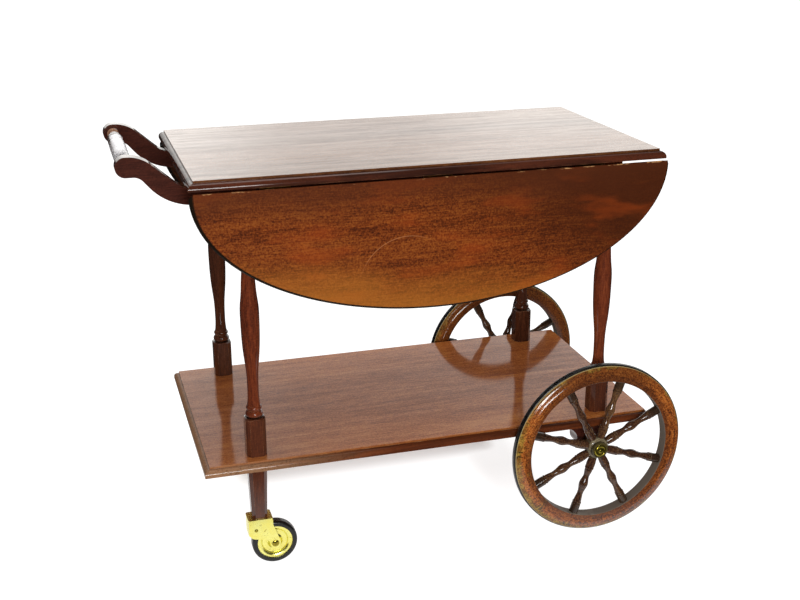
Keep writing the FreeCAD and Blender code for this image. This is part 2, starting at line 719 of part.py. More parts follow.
STRIP = size("stay_strip")
BRACKET = size("bracket_thick")
SIDE_GAP = size("side_gap")
RIVET = size("rivet_radius")
EYE = size("stay_eye")


def stay_points():
    """Frame pivot, knee and leaf pivot in the frame of the joint, leaves down."""
    foot = Vector(0, size("stay_drop"), -size("stay_inset"))
    leaf = Vector(0, size("stay_reach"), -size("stay_offset"))
    arm, link = size("stay_arm"), size("stay_link")
    line = leaf - foot
    along = (arm ** 2 + line.Length ** 2 - link ** 2) / (2 * line.Length)
    aside = math.sqrt(arm ** 2 - along ** 2)
    unit = Vector(line).normalize()
    return foot, foot + unit * along + X_AXIS.cross(unit) * -aside, leaf


def strip(start, goal, x_low):
    """A flat strip with a round eye at both ends."""
    thick = X_AXIS * STRIP
    unit = (goal - start).normalize()
    aside = X_AXIS.cross(unit) * size("stay_half_width")
    lift = X_AXIS * x_low
    corners = [start + aside, goal + aside, goal - aside, start - aside]
    face = Part.Face(Part.makePolygon([corner + lift for corner in (*corners, corners[0])]))
    shape = face.extrude(thick)
    for eye in (start, goal):
        shape = shape.fuse(rod("x", EYE, x_low, x_low + STRIP, eye.y, eye.z))
    return shape.removeSplitter()


def bored(shape, eye, radius):
    """The shape with a hole right through it along X."""
    room = shape.BoundBox
    return shape.cut(rod("x", radius, room.XMin, room.XMax, eye.y, eye.z)).Solids[0]


def rivet(eye, x_low, x_high):
    """A rivet whose heads lie against the faces at x_low and x_high."""
    head = size("rivet_head")
    rise = size("rivet_rise")
    shank = rod("x", RIVET, x_low, x_high, eye.y, eye.z)
    ends = [dome(head, rise, Vector(x_high, eye.y, eye.z), X_AXIS),
            dome(head, rise, Vector(x_low, eye.y, eye.z), -X_AXIS)]
    return shank.fuse(ends).removeSplitter()


def stay_bracket(foot):
    """An angle plate on the apron's inner face with a lug out to the stay's foot."""
    inner = -(PIN_Y - FRAME_Y) - size("apron_thick")
    low = size("apron_depth - bracket_lift")
    high = low - size("bracket_height")
    eye = size("bracket_eye")
    slant = eye / math.sqrt(2)
    flange = bar(-size("bracket_length"), BRACKET / 2, high, low, inner - BRACKET, inner)
    lug_edge = [Vector(-BRACKET / 2, high, inner), Vector(-BRACKET / 2, low, inner),
                foot + Vector(-BRACKET / 2, slant, slant),
                foot + Vector(-BRACKET / 2, -slant, -slant)]
    lug = Part.Face(Part.makePolygon([*lug_edge, lug_edge[0]])).extrude(X_AXIS * BRACKET)
    lug = lug.fuse(rod("x", eye, -BRACKET / 2, BRACKET / 2, foot.y, foot.z))
    return bored(flange.fuse(lug).removeSplitter(), foot, RIVET)


def leaf_lug(leaf, x_low):
    """A plate under the leaf with a lug to the stay's upper end."""
    x_high = x_low + BRACKET
    low, high = (leaf.y + sign * size("leaf_plate_width / 2") for sign in (-1, 1))
    flange = bar(x_high - size("leaf_plate_length"), x_high, low, high, -BRACKET, 0)
    outline = [Vector(x_low, low, 0), Vector(x_low, high, 0),
               Vector(x_low, leaf.y + EYE, leaf.z), Vector(x_low, leaf.y - EYE, leaf.z)]
    lug = Part.Face(Part.makePolygon([*outline, outline[0]])).extrude(X_AXIS * BRACKET)
    lug = lug.fuse(rod("x", EYE, x_low, x_low + BRACKET, leaf.y, leaf.z))
    return bored(flange.fuse(lug).removeSplitter(), leaf, RIVET)


FOOT, KNEE, TIP = stay_points()
ARM_X = BRACKET / 2 + SIDE_GAP
LINK_X = ARM_X + STRIP + SIDE_GAP
LUG_X = LINK_X + STRIP + SIDE_GAP
arm_strip = bored(strip(FOOT, KNEE, ARM_X), FOOT, RIVET + size("running_fit"))
arm_strip = bored(arm_strip, KNEE, RIVET)
link_strip = bored(strip(KNEE, TIP, LINK_X), KNEE, RIVET + size("running_fit"))
stub = rod("x", RIVET, LUG_X, LUG_X + BRACKET, TIP.y, TIP.z)
stub = stub.fuse(dome(size("rivet_head"), size("rivet_rise"),
                      Vector(LUG_X + BRACKET, TIP.y, TIP.z), X_AXIS)).removeSplitter()
stay_pieces = {
    "stay_bracket": [stay_bracket(FOOT), rivet(FOOT, -BRACKET / 2, ARM_X + STRIP + SIDE_GAP)],
    "stay_arm": [arm_strip, rivet(KNEE, ARM_X, LINK_X + STRIP + SIDE_GAP)],
    "stay_link": [link_strip],
    "stay_leaf_plate": [leaf_lug(TIP, LUG_X), stub],
}
for side_name, side in SIDES:
    for piece, solids in stay_pieces.items():
        name = "%s_%s" % (side_name, piece)
        node(name, feature(name, Part.makeCompound(solids), side_frame(side)))

# ---------------------------------------------------------------- large wheels and axle


def about_y(shape):
    """A solid turned about Z, laid over so that its Z runs along Y."""
    shape.rotate(Vector(), X_AXIS, -90)
    return shape


def ring(inner, outer, half, inner_round=0.0, outer_round=0.0):
    """A ring about the Z axis, its inner and outer corners rounded by tangent arcs."""
    corners = [(Vector(inner, 0, -half), inner_round), (Vector(outer, 0, -half), outer_round),
               (Vector(outer, 0, half), outer_round), (Vector(inner, 0, half), inner_round)]
    return rounded_face(corners).revolve(Vector(), Z_AXIS, 360)


RIM_OUTER = size("wheel_radius - tyre_rise")
RIM_INNER = RIM_OUTER - size("rim_depth")
HUB_SEAT = size("hub_radius + spoke_seat")
RIM_SEAT = RIM_INNER - size("spoke_seat")


def spoke():
    """A turned spoke along Z from its hub tenon to its rim tenon."""
    end = size("spoke_end")
    groove = end - size("spoke_groove")
    neck = size("spoke_neck")
    bulb = size("spoke_bulb")
    swell = (neck + bulb) / 2
    flare = neck + (end - neck) * 0.4
    tenon = size("spoke_tenon")
    length = size("tenon_length")

    def at(share, radius):
        return (HUB_SEAT + (RIM_SEAT - HUB_SEAT) * share, radius)

    return turned(
        (HUB_SEAT - length, tenon), ("line", at(0, tenon)), ("line", at(0, size("spoke_foot"))),
        ("line", at(0.1, end)), ("line", at(0.16, end)),
        ("line", at(0.17, groove)), ("line", at(0.18, end)), ("line", at(0.2, end)),
        ("line", at(0.21, groove)),
        ("curve", at(0.27, flare), at(0.34, neck), at(0.41, swell), at(0.48, bulb),
         at(0.56, swell), at(0.65, neck), at(0.74, flare), at(0.795, groove)),
        ("line", at(0.805, end)), ("line", at(0.825, end)), ("line", at(0.835, groove)),
        ("line", at(0.845, end)), ("line", at(1, end)), ("line", at(1, tenon)),
        ("line", (RIM_SEAT + length, tenon)))


SPOKES = int(size("spoke_count"))
PHASES = [size("spoke_phase") + 360 / SPOKES * index for index in range(SPOKES)]
WHEEL_Y = HUB_FACE + size("hub_middle")
HUB_INNER = -size("hub_middle")
HUB_OUTER = HUB_INNER + size("hub_length")
CAP_FACE = HUB_OUTER - size("cap_seat")
BUSH = size("axle_radius + running_fit + bush_wall")
WASHER = size("washer_thick")


def spokes(shape):
    """The spoke repeated round the wheel, in the wheel's own plane."""
    copies = []
    for phase in PHASES:
        copy = shape.copy()
        copy.rotate(Vector(), Y_AXIS, 90 - phase)
        copies.append(copy)
    return copies


def mortises(radius):
    bore = size("spoke_tenon")
    depth = size("tenon_length")
    return spokes(rod("z", bore, radius - depth, radius + depth))


# From the rim's inner to its outer face, and how full it is there between the two.
RIM_CROWN = ((0.4, 1), (0.73, 0.82), (0.9, 0.46), (1, 0))


def wheel_rim():
    """A crowned wooden rim with a seat for its tyre and a mortise for each spoke."""
    half = size("rim_width / 2")
    flat = size("rim_flat")
    lip = size("rim_lip")
    crown = [(flat + (half - flat) * full, RIM_INNER + size("rim_depth") * share)
             for share, full in RIM_CROWN]
    rim = turned((-half + 2 * lip, RIM_INNER), ("line", (-half + lip, RIM_INNER + lip)),
                 ("curve", *[(-width, radius) for width, radius in crown]),
                 ("line", (flat, RIM_OUTER)),
                 ("curve", *crown[-2::-1], (half - lip, RIM_INNER + lip)),
                 ("line", (half - 2 * lip, RIM_INNER)))
    rim = rim.cut(rod("z", RIM_INNER, -half, half))
    seat = ring(RIM_OUTER - size("tyre_sink"), size("wheel_radius"), size("tyre_width / 2"))
    return about_y(rim.cut(seat)).cut(mortises(RIM_SEAT)).Solids[0]


def wheel_hub():
    """Drum and nose, turned from the inside outwards, bored for its bush and its cap."""
    drum = size("hub_radius")
    nose = size("hub_nose")
    rounding = size("hub_round")
    ease = rounding / 4
    step = HUB_INNER + size("hub_drum")
    hub = turned((HUB_INNER, drum - rounding),
                 ("bead", (HUB_INNER + rounding, drum), drum - ease),
                 ("line", (step - rounding, drum)),
                 ("bead", (step, nose), (drum + nose) / 2 + ease),
                 ("line", (HUB_OUTER - ease, nose)), ("line", (HUB_OUTER, nose - ease)))
    hub = hub.cut(rod("z", BUSH, HUB_INNER, HUB_OUTER))
    hub = hub.cut(rod("z", size("cap_radius"), CAP_FACE, HUB_OUTER))
    return about_y(hub).cut(mortises(HUB_SEAT)).Solids[0]


def hub_cap():
    """A brass cap: a rounded rim, a shallow dish and a small round centre."""
    radius = size("cap_radius")
    proud = size("cap_proud")
    cap = turned((HUB_OUTER - size("cap_rim"), radius), ("line", (HUB_OUTER, radius)),
                 ("bead", (HUB_OUTER + proud * 0.7, radius * 0.75), radius * 0.95),
                 ("curve", (HUB_OUTER + proud * 0.45, radius * 0.55),
                  (HUB_OUTER + proud * 0.5, radius * 0.35)),
                 ("curve", (HUB_OUTER + proud * 0.9, radius * 0.24), (HUB_OUTER + proud, radius * 0.1)))
    return about_y(cap)


def hub_bush():
    """The brass sleeve that turns on the axle."""
    sleeve = rod("z", BUSH, HUB_INNER, CAP_FACE)
    return about_y(sleeve.cut(rod("z", size("axle_radius + running_fit"), HUB_INNER, CAP_FACE)))


wheel_tyre = about_y(ring(RIM_OUTER - size("tyre_sink"), size("wheel_radius"),
                          size("tyre_width / 2"), 0, size("tyre_edge")))
wheel_pieces = {
    "wheel_rim": wheel_rim(),
    "wheel_tyre": wheel_tyre,
    "wheel_hub": wheel_hub(),
    "wheel_spokes": Part.makeCompound(spokes(spoke())),
    "wheel_bush": hub_bush(),
    "wheel_cap": hub_cap(),
}
for side_name, side in SIDES:
    centre = Vector(WHEEL_X, side * WHEEL_Y, size("wheel_radius"))
    for piece, shape in wheel_pieces.items():
        name = "%s_%s" % (side_name, piece)
        drawn = shape
        if side < 0:
            drawn = shape.mirror(Vector(), Y_AXIS)
        node(name, feature(name, drawn.translated(centre)))

AXLE = size("axle_radius")
AXLE_END = WHEEL_Y + CAP_FACE + SIDE_GAP
BLOCK_FACE = LEG_Y + size("block_width / 2")


def on_axle(radius, start, end):
    """A round piece on the axle's line."""
    return rod("y", radius, start, end, WHEEL_X, size("wheel_radius"))


node("axle", feature("axle", on_axle(AXLE, -AXLE_END, AXLE_END)))
spacers = []
end_washers = []
for side_name, side in SIDES:
    washer_end = side * (HUB_FACE - SIDE_GAP)
    washer_start = washer_end - side * WASHER
    for wall, start, end in ((size("washer_wall"), washer_start, washer_end),
                             (size("spacer_wall"), side * BLOCK_FACE, washer_start)):
        spacers.append(on_axle(AXLE + wall, start, end).cut(on_axle(AXLE, start, end)))
    start = side * AXLE_END
    end = start + side * WASHER
    end_washers.append(on_axle(AXLE + size("end_washer_wall"), start, end))
    end_washers.append(on_axle(size("end_head"), end, end + side * size("end_head_rise")))
node("axle_spacers", feature("axle_spacers", Part.makeCompound(spacers)))
node("axle_end_washers", feature("axle_end_washers", Part.makeCompound(end_washers)))

# ---------------------------------------------------------------- casters

SWIVEL_X = -LEG_X
TRAIL = size("caster_trail")
CASTER = size("caster_radius")
GAUGE = size("caster_gauge / 2")
CHEEK = GAUGE + size("fork_sheet")


def caster_fork():
    """A pressed fork: a plate under the leg, two cheeks and a web, swivel at the origin."""
    front = TRAIL + size("fork_front")
    rear = TRAIL - size("fork_rear")
    sheet = size("fork_sheet")
    eye = size("bolt_head + fork_eye")
    corner = size("fork_corner")
    inside = FORK_LOW + size("fork_plate / 2")
    plate_corners = [(Vector(x, y, FORK_LOW), corner) for x, y in
                     ((rear, -CHEEK), (front, -CHEEK), (front, CHEEK), (rear, CHEEK))]
    plate = rounded_face(plate_corners).extrude(Z_AXIS * (FORK_TOP - FORK_LOW))
    outline = [(Vector(rear, 0, inside), 0), (Vector(front, 0, inside), 0),
               (Vector(front, 0, FORK_LOW - size("fork_brow")), eye),
               (Vector(TRAIL + eye, 0, CASTER + eye / 2), eye),
               (Vector(TRAIL + eye, 0, CASTER - eye), eye),
               (Vector(TRAIL - eye, 0, CASTER - eye), eye),
               (Vector(TRAIL - eye, 0, CASTER + eye), 1.5 * eye),
               (Vector(rear, 0, CASTER + size("fork_heel")), 1.5 * eye)]
    cheek = rounded_face(outline).extrude(Y_AXIS * sheet)
    cheeks = [cheek.translated(Vector(0, GAUGE, 0)), cheek.translated(Vector(0, -CHEEK, 0))]
    web = bar(rear, rear + sheet, -CHEEK, CHEEK, CASTER + size("fork_web"), inside)
    fork = plate.fuse([*cheeks, web]).removeSplitter()
    fork = fork.cut(rod("z", PIN_HOLE + size("running_fit"), 0, FOOT_Z))
    pin_x, pin_z = TRAIL - size("fork_pin_back"), CASTER + size("fork_pin_up")
    fork = fork.cut(rod("y", size("fork_pin_radius"), -CHEEK, CHEEK, pin_x, pin_z))
    return fork.cut(rod("y", size("bolt_radius"), -CHEEK, CHEEK, TRAIL, CASTER)).Solids[0]


def caster_disc():
    """A brass disc, dished between its rim ring and its boss, alike on both faces."""
    radius = size("caster_disc")
    rim = size("disc_rim")
    dish = size("disc_dish")
    boss = GAUGE - SIDE_GAP
    land = radius - size("disc_land")
    slope = land - size("disc_slope")
    hollow = slope + size("disc_slope") * 0.3
    top, foot = size("disc_boss"), size("disc_boss_foot")
    flare = top + (foot - top) * 0.28
    disc = turned((-boss, top), ("bead", (-dish, foot), flare), ("line", (-dish, slope)),
                  ("bead", (-rim, land), hollow), ("line", (-rim, radius)),
                  ("line", (rim, radius)), ("line", (rim, land)),
                  ("bead", (dish, slope), hollow), ("line", (dish, foot)),
                  ("bead", (boss, top), flare))
    return about_y(disc.cut(rod("z", size("bolt_radius + running_fit"), -boss, boss)))


def cheek_bolt(shank, head, rise, x, z):
    """A bolt through both cheeks with a round head outside each."""
    bolt = rod("y", shank, -CHEEK, CHEEK, x, z)
    heads = [dome(head, rise, Vector(x, side * CHEEK, z), Y_AXIS * side)
             for side_name, side in SIDES]
    return bolt.fuse(heads).removeSplitter()


def caster_bolts():
    """The axle bolt and the smaller pin near the web, about the caster's axle."""
    axle_bolt = cheek_bolt(size("bolt_radius"), size("bolt_head"), size("bolt_rise"), 0, 0)
    pin = cheek_bolt(size("fork_pin_radius"), size("fork_pin_head"), size("fork_pin_rise"),
                     -size("fork_pin_back"), size("fork_pin_up"))
    return Part.makeCompound([axle_bolt, pin])


CASTER_TYRE = about_y(ring(size("caster_disc"), CASTER, size("caster_width / 2"),
                           0, size("caster_edge")))
caster_pieces = {
    "caster_fork": (caster_fork(), 0, 0),
    "caster_disc": (caster_disc(), TRAIL, CASTER),
    "caster_tyre": (CASTER_TYRE, TRAIL, CASTER),
    "caster_bolt": (caster_bolts(), TRAIL, CASTER),
}
plates = []
kingpins = []
for side_name, side in SIDES:
    foot = Vector(SWIVEL_X, side * LEG_Y, 0)
    for piece, (shape, along, height) in caster_pieces.items():
        name = "%s_%s" % (side_name, piece)
        node(name, feature(name, shape.translated(foot + Vector(along, 0, height))))
    length, width = size("plate_length"), size("plate_width")
    corners = [(Vector(x * length / 2, y * width / 2, PLATE_LOW), size("plate_corner"))
               for x, y in ((-1, -1), (1, -1), (1, 1), (-1, 1))]
    plate = rounded_face(corners).extrude(Z_AXIS * size("plate_thick"))
    plates.append(plate.cut(rod("z", PIN_HOLE, PLATE_LOW, FOOT_Z)).translated(foot))
    pin = rod("z", PIN_HOLE, FORK_LOW - SIDE_GAP, FOOT_Z + size("kingpin_length"))
    head_seat = Vector(0, 0, FORK_LOW - SIDE_GAP)
    head = dome(size("kingpin_head"), size("kingpin_rise"), head_seat, -Z_AXIS)
    kingpins.append(pin.fuse(head).removeSplitter().translated(foot))
node("caster_plates", feature("caster_plates", Part.makeCompound(plates)))
node("caster_kingpins", feature("caster_kingpins", Part.makeCompound(kingpins)))

# ---------------------------------------------------------------- handle

ARM_INNER = size("(leg_spread - leg_square) / 2 - arm_inset - arm_thick")
END_RADIUS = size("handle_end / 2")
BAR_X = END_RADIUS - size("handle_reach")
BAR_Z = size("top_height + handle_rise") - END_RADIUS
ARM_FLARE = math.radians(8)


def handle_arm():
    """An S-shaped arm from the apron to its round end, bored for the bar.

    Its upper edge falls past the end of the top, and its lower edge falls a little more
    steeply, so that the arm grows deeper towards the apron.
    """
    tip = -size("handle_reach")
    root = -size("leg_span + leg_square") / 2
    crest = size("top_height + handle_rise")
    under = crest - size("handle_end")
    root_top = size("top_height - arm_drop")
    root_low = root_top - size("arm_height")
    bend = Vector(tip + size("handle_crest"), 0, crest)
    passing = Vector(-size("top_length / 2 + arm_clear"), 0, PIN_Z)
    fall = math.atan2(crest - PIN_Z, passing.x - bend.x)
    top_end = bend.x + (crest - root_top) / math.tan(fall)
    throat = size("arm_throat")
    sag = bend.x - (throat - (crest - under) * math.cos(fall)) / math.sin(fall)
    low_end = sag + (under - root_low) / math.tan(fall + ARM_FLARE)
    outline = [
        (Vector(root, 0, root_top), 0),
        (Vector(top_end, 0, root_top), size("arm_top_bend")),
        (bend, size("arm_crest_bend")),
        (Vector(tip, 0, crest), END_RADIUS),
        (Vector(tip, 0, under), END_RADIUS),
        (Vector(sag, 0, under), size("arm_throat_bend")),
        (Vector(low_end, 0, root_low), size("arm_low_bend")),
        (Vector(root, 0, root_low), 0)]
    arm = rounded_face(outline).extrude(Y_AXIS * size("arm_thick"))
    return arm.cut(rod("y", size("bar_tenon"), 0, size("bar_tenon_length"), BAR_X, BAR_Z))


def handle_bar():
    """A glass bar: a long barrel with a shoulder, a neck and a tenon at each end."""
    neck = size("bar_neck")
    tenon = size("bar_tenon")
    belly = size("bar_belly")
    half = ARM_INNER - size("collar_thick")
    end = ARM_INNER + size("bar_tenon_length")
    rising = [(half * share, neck + (belly - neck) * depth)
              for share, depth in ((0.05, 0), (0.13, 0.06), (0.21, 0.48), (0.31, 0.8), (0.6, 0.94))]
    shape = turned(
        (-end, tenon), ("line", (-half, tenon)), ("line", (-half, neck)),
        ("curve", *[(along - half, radius) for along, radius in rising], (0, belly),
         *[(half - along, radius) for along, radius in reversed(rising)]),
        ("line", (half, neck)), ("line", (half, tenon)), ("line", (end, tenon)))
    return about_y(shape).translated(Vector(BAR_X, 0, BAR_Z))


def bar_collar(side):
    """A turned ring round the bar against the arm's inner face."""
    radius = size("collar_radius")
    thick = size("collar_thick")
    ring_shape = turned((0, radius), ("line", (thick * 0.4, radius)),
                        ("bead", (thick, radius * 0.8), radius * 0.96))
    ring_shape = ring_shape.cut(rod("z", size("bar_tenon"), 0, thick))
    ring_shape.rotate(Vector(), X_AXIS, 90 * side)
    return ring_shape.translated(Vector(BAR_X, side * ARM_INNER, BAR_Z))


ARM = handle_arm()
node("back_handle_arm", feature("back_handle_arm", ARM.translated(Y_AXIS * ARM_INNER)))
mirrored_arm = ARM.mirror(Vector(), Y_AXIS).translated(Y_AXIS * -ARM_INNER)
node("front_handle_arm", feature("front_handle_arm", mirrored_arm))
node("handle_bar", feature("handle_bar", handle_bar()))
collars = Part.makeCompound([bar_collar(side) for side_name, side in SIDES])
node("bar_collars", feature("bar_collars", collars))


# ---------------------------------------------------------------- check and write

doc.recompute()
for thing in doc.Objects:
    for state in ("Invalid", "Error"):
        if state in thing.State:
            raise RuntimeError("%s is %s" % (thing.Name, state))
for name, thing in nodes.items():
    if thing.Shape.isNull() or not thing.Shape.isValid() or not thing.Shape.Solids:
        raise RuntimeError(name + " has no sound shape")

reach_back = size("handle_reach")
reach_ahead = WHEEL_X + size("wheel_radius")
to_footprint = Vector((reach_back - reach_ahead) / 2, 0, 0)
os.makedirs("parts", exist_ok=True)
for name, thing in nodes.items():
    thing.Shape.translated(to_footprint).exportStep("parts/%s.step" % name)
print("%d sub-parts, table moved %.2f mm to the middle of the footprint"
      % (len(nodes), to_footprint.x))
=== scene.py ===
"""Looks of the drop leaf tea trolley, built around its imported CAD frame.

Metres, in the frame's own axes: +X towards the large wheels, +Y towards the back leaf, +Z up.
"""

import bpy
from mathutils import Matrix, Vector


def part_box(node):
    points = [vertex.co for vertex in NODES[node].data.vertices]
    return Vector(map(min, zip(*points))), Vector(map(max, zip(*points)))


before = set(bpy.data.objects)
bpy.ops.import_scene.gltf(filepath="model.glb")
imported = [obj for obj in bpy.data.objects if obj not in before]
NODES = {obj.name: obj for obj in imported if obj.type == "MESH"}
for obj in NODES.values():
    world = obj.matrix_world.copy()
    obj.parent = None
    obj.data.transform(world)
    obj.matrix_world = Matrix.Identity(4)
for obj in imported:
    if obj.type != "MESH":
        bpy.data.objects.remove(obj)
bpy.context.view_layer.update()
SIDES = ("front", "back")


def srgb(red, green, blue):
    """A colour written as 0 to 255 screen values, in the linear values that shaders take."""
    def linear(value):
        value /= 255
        return value / 12.92 if value <= 0.04045 else ((value + 0.055) / 1.055) ** 2.4
    return (linear(red), linear(green), linear(blue), 1.0)


MIX_SHARE, MIX_FIRST, MIX_SECOND, MIX_RESULT = 0, 6, 7, 2   # a Mix node's colour sockets
EDGE_SAMPLES = 6
EDGE_FACING = (0.99, 0.85)   # how far the rounded normal of an arris turns from the real one


class Graph:
    """Short calls for the shader nodes that the finishes, the floor and the world use."""

    def __init__(self, tree):
        self.tree = tree

    def put(self, socket, value):
        """Link a node's output to a socket, or set the socket to a plain value."""
        if isinstance(value, bpy.types.NodeSocket):
            self.tree.links.new(value, socket)
        else:
            socket.default_value = value

    def add(self, kind, output=0, inputs=(), **settings):
        """A new node with its inputs and settings; gives one of its outputs."""
        node = self.tree.nodes.new("ShaderNode" + kind)
        for name, value in settings.items():
            setattr(node, name, value)
        for key, value in dict(inputs).items():
            self.put(node.inputs[key], value)
        return node.outputs[output]

    def math(self, operation, first, second=0.0, third=0.0):
        return self.add("Math", 0, {0: first, 1: second, 2: third}, operation=operation)

    def beside(self, value, middle):
        """How far a value is from a middle, on either side."""
        return self.math("ABSOLUTE", self.math("SUBTRACT", value, middle))

    def times(self, first, second):
        return self.math("MULTIPLY", first, second)

    def plus(self, first, second):
        return self.math("ADD", first, second)

    def length(self, first, second):
        return self.math("SQRT", self.plus(self.times(first, first), self.times(second, second)))

    def blend(self, value, low, high, to_low=0.0, to_high=1.0):
        """to_low below low and to_high above high, with a smooth step between."""
        return self.add("MapRange", 0, {"Value": value, "From Min": low, "From Max": high,
                                        "To Min": to_low, "To Max": to_high},
                        interpolation_type="SMOOTHSTEP")

    def noise(self, vector, scale, detail=3.0, rough=0.55, bend=0.0):
        """Cloudy numbers round 0.5; a larger scale makes smaller clouds."""
        return self.add("TexNoise", 0, {"Vector": vector, "Scale": scale, "Detail": detail,
                                        "Roughness": rough, "Distortion": bend})

    def mix(self, share, first, second):
        """A colour between two, by a share from 0 to 1."""
        node = self.tree.nodes.new("ShaderNodeMix")
        node.data_type = "RGBA"
        self.put(node.inputs[MIX_SHARE], share)
        self.put(node.inputs[MIX_FIRST], first)
        self.put(node.inputs[MIX_SECOND], second)
        return node.outputs[MIX_RESULT]

    def ramp(self, value, *stops):
        """A colour from (place, colour) stops."""
        node = self.tree.nodes.new("ShaderNodeValToRGB")
        elements = node.color_ramp.elements
        while len(elements) < len(stops):
            elements.new(0.5)
        for element, (place, colour) in zip(elements, stops):
            element.position = place
            element.color = colour
        self.put(node.inputs[0], value)
        return node.outputs[0]

    def scaled(self, vector, scale):
        return self.add("Mapping", 0, {"Vector": vector, "Scale": scale})

    def parts(self, vector):
        """The three numbers of a vector."""
        node = self.tree.nodes.new("ShaderNodeSeparateXYZ")
        self.put(node.inputs[0], vector)
        return node.outputs[0], node.outputs[1], node.outputs[2]

    def vector(self, x, y, z):
        return self.add("CombineXYZ", 0, {0: x, 1: y, 2: z})

    def seen_by(self, *rays):
        """1 for the named kinds of ray and 0 for all others."""
        path = self.tree.nodes.new("ShaderNodeLightPath").outputs
        seen = path["Is %s Ray" % rays[0]]
        for ray in rays[1:]:
            seen = self.math("MAXIMUM", seen, path["Is %s Ray" % ray])
        return seen


class Finish(Graph):
    """A material whose skin is a Principled shader, in the object's own coordinates."""

    def __init__(self, name, **sockets):
        self.material = bpy.data.materials.new(name)
        self.material.use_nodes = True
        super().__init__(self.material.node_tree)
        self.skin = self.tree.nodes["Principled BSDF"]
        self.coordinates = self.add("TexCoord", "Object")
        for socket, value in sockets.items():
            self.skin.inputs[socket.replace("_", " ")].default_value = value

    def set(self, socket, value):
        self.put(self.skin.inputs[socket], value)

    def bump(self, height, distance, strength=1.0, under=None):
        inputs = {"Height": height, "Distance": distance, "Strength": strength}
        if under is not None:
            inputs["Normal"] = under
        return self.add("Bump", 0, inputs)

    def crevice(self, reach):
        """1 on open surface, falling to 0 in the grooves of the piece itself."""
        return self.add("AmbientOcclusion", "AO", {"Distance": reach}, only_local=True,
                        samples=EDGE_SAMPLES)

    def arris(self, radius):
        """0 on flat surface, rising towards 1 on the piece's own sharp edges."""
        smooth = self.add("Bevel", 0, {"Radius": radius}, samples=EDGE_SAMPLES)
        facing = self.add("VectorMath", "Value", {0: smooth, 1: self.add("NewGeometry", "Normal")},
                          operation="DOT_PRODUCT")
        return self.blend(facing, *EDGE_FACING)


# ---------------------------------------------------------------- camera, floor and light

CAMERA_AT = (-0.57931, -2.03302, 1.13835)
CAMERA_RIGHT = (0.95862726, -0.28464665, -0.00317062)
CAMERA_UP = (0.09699363, 0.31614106, 0.943741)
CAMERA_BACK = (-0.26763035, -0.90500338, 0.33067035)
LENS_MM = 54.127
SENSOR_MM = 36.0
CAMERA_REACH = 60

WHITE = (1, 1, 1, 1)
FLOOR_REACH = 40.0
FLOOR_GREY = 0.62         # the floor's own colour, as it lights the trolley
FLOOR_SEEN = 0.3          # its colour as the camera sees it, beside the glow
FLOOR_IN_SHADOW = 0.5     # what that colour gains where the shadow shows
GLOW_IN_SHADOW = -0.7     # what the glow loses there

# The shadow that the camera sees: each pair is where it fades, from the middle out for x.
SHELF_SHADOW_X = (0.24, 0.3)
SHELF_SHADOW_Y = (0.075, 0.15)
WHEEL_SHADOW_AT = 0.25
WHEEL_SHADOW_X = (0.03, 0.09)
WHEEL_SHADOW_Y = (-0.16, 0.05)
WHEEL_SHADOW = 0.35       # its depth beside the shelf's
SHADOW_ENDS_Y = (0.2, 0.5)

PAPER_MIRRORED = 0.6      # how bright varnish mirrors the paper
PAPER_ENDS = (0.36, 0.54)   # the distances between which it fades into the room
PAPER_ASPECT = 0.66       # a distance along x counts this much

ROOM_LIGHT = 0.58         # the plain grey that lights the trolley from all round
ROOM_LIGHT_Y = (-0.1, 0.7, 0.95, 1.5)   # and its share from the front and from behind
ROOM_DARK = 0.03          # the unlit part of the room, as varnish mirrors it

# The wall that varnish mirrors: by height, and by the angle from +Y towards +X.
WALL_COLOUR = (1.0, 0.995, 0.962, 1)
WALL_HEIGHT = (0.21, 0.44, 1.98, 0.84)
WALL_LEFT = (0.02, 0.22, 1.28, 1.0)
WALL_DIP_AT = 0.25
WALL_DIP = (0.03, 0.14, 0.78, 1.0)
WALL_STARTS = (-0.42, 0.04, 0.0, 1.0)
WALL_ENDS = (1.1, 1.6, 1.0, 0.0)

# Each lamp's name, place, width, height and power.
KEY_LAMP = ("key", (-0.3, -2.35, 0.8), 0.8, 0.45, 26)
TOP_LAMP = ("top", (0.0, 0.1, 2.8), 1.2, 1.2, 12)
LAMPS_AIM = (0, 0, 0.4)


def make_camera():
    data = bpy.data.cameras.new("camera")
    data.lens = LENS_MM
    data.sensor_width = SENSOR_MM
    data.clip_end = CAMERA_REACH
    camera = bpy.data.objects.new("camera", data)
    bpy.context.scene.collection.objects.link(camera)
    axes = Matrix((CAMERA_RIGHT, CAMERA_UP, CAMERA_BACK)).transposed()
    camera.matrix_world = Matrix.Translation(CAMERA_AT) @ axes.to_4x4()
    bpy.context.scene.camera = camera


def floor_shadow(paper, x, y):
    """1 on the floor well under the shelf, less beside the front wheel, and 0 elsewhere."""
    from_wheel = paper.beside(x, WHEEL_SHADOW_AT)
    under_shelf = paper.times(paper.blend(paper.math("ABSOLUTE", x), *SHELF_SHADOW_X, 1.0, 0.0),
                              paper.blend(y, *SHELF_SHADOW_Y))
    near_wheel = paper.times(paper.blend(from_wheel, *WHEEL_SHADOW_X, WHEEL_SHADOW, 0.0),
                             paper.blend(y, *WHEEL_SHADOW_Y))
    return paper.times(paper.math("MAXIMUM", under_shelf, near_wheel),
                       paper.blend(y, *SHADOW_ENDS_Y, 1.0, 0.0))


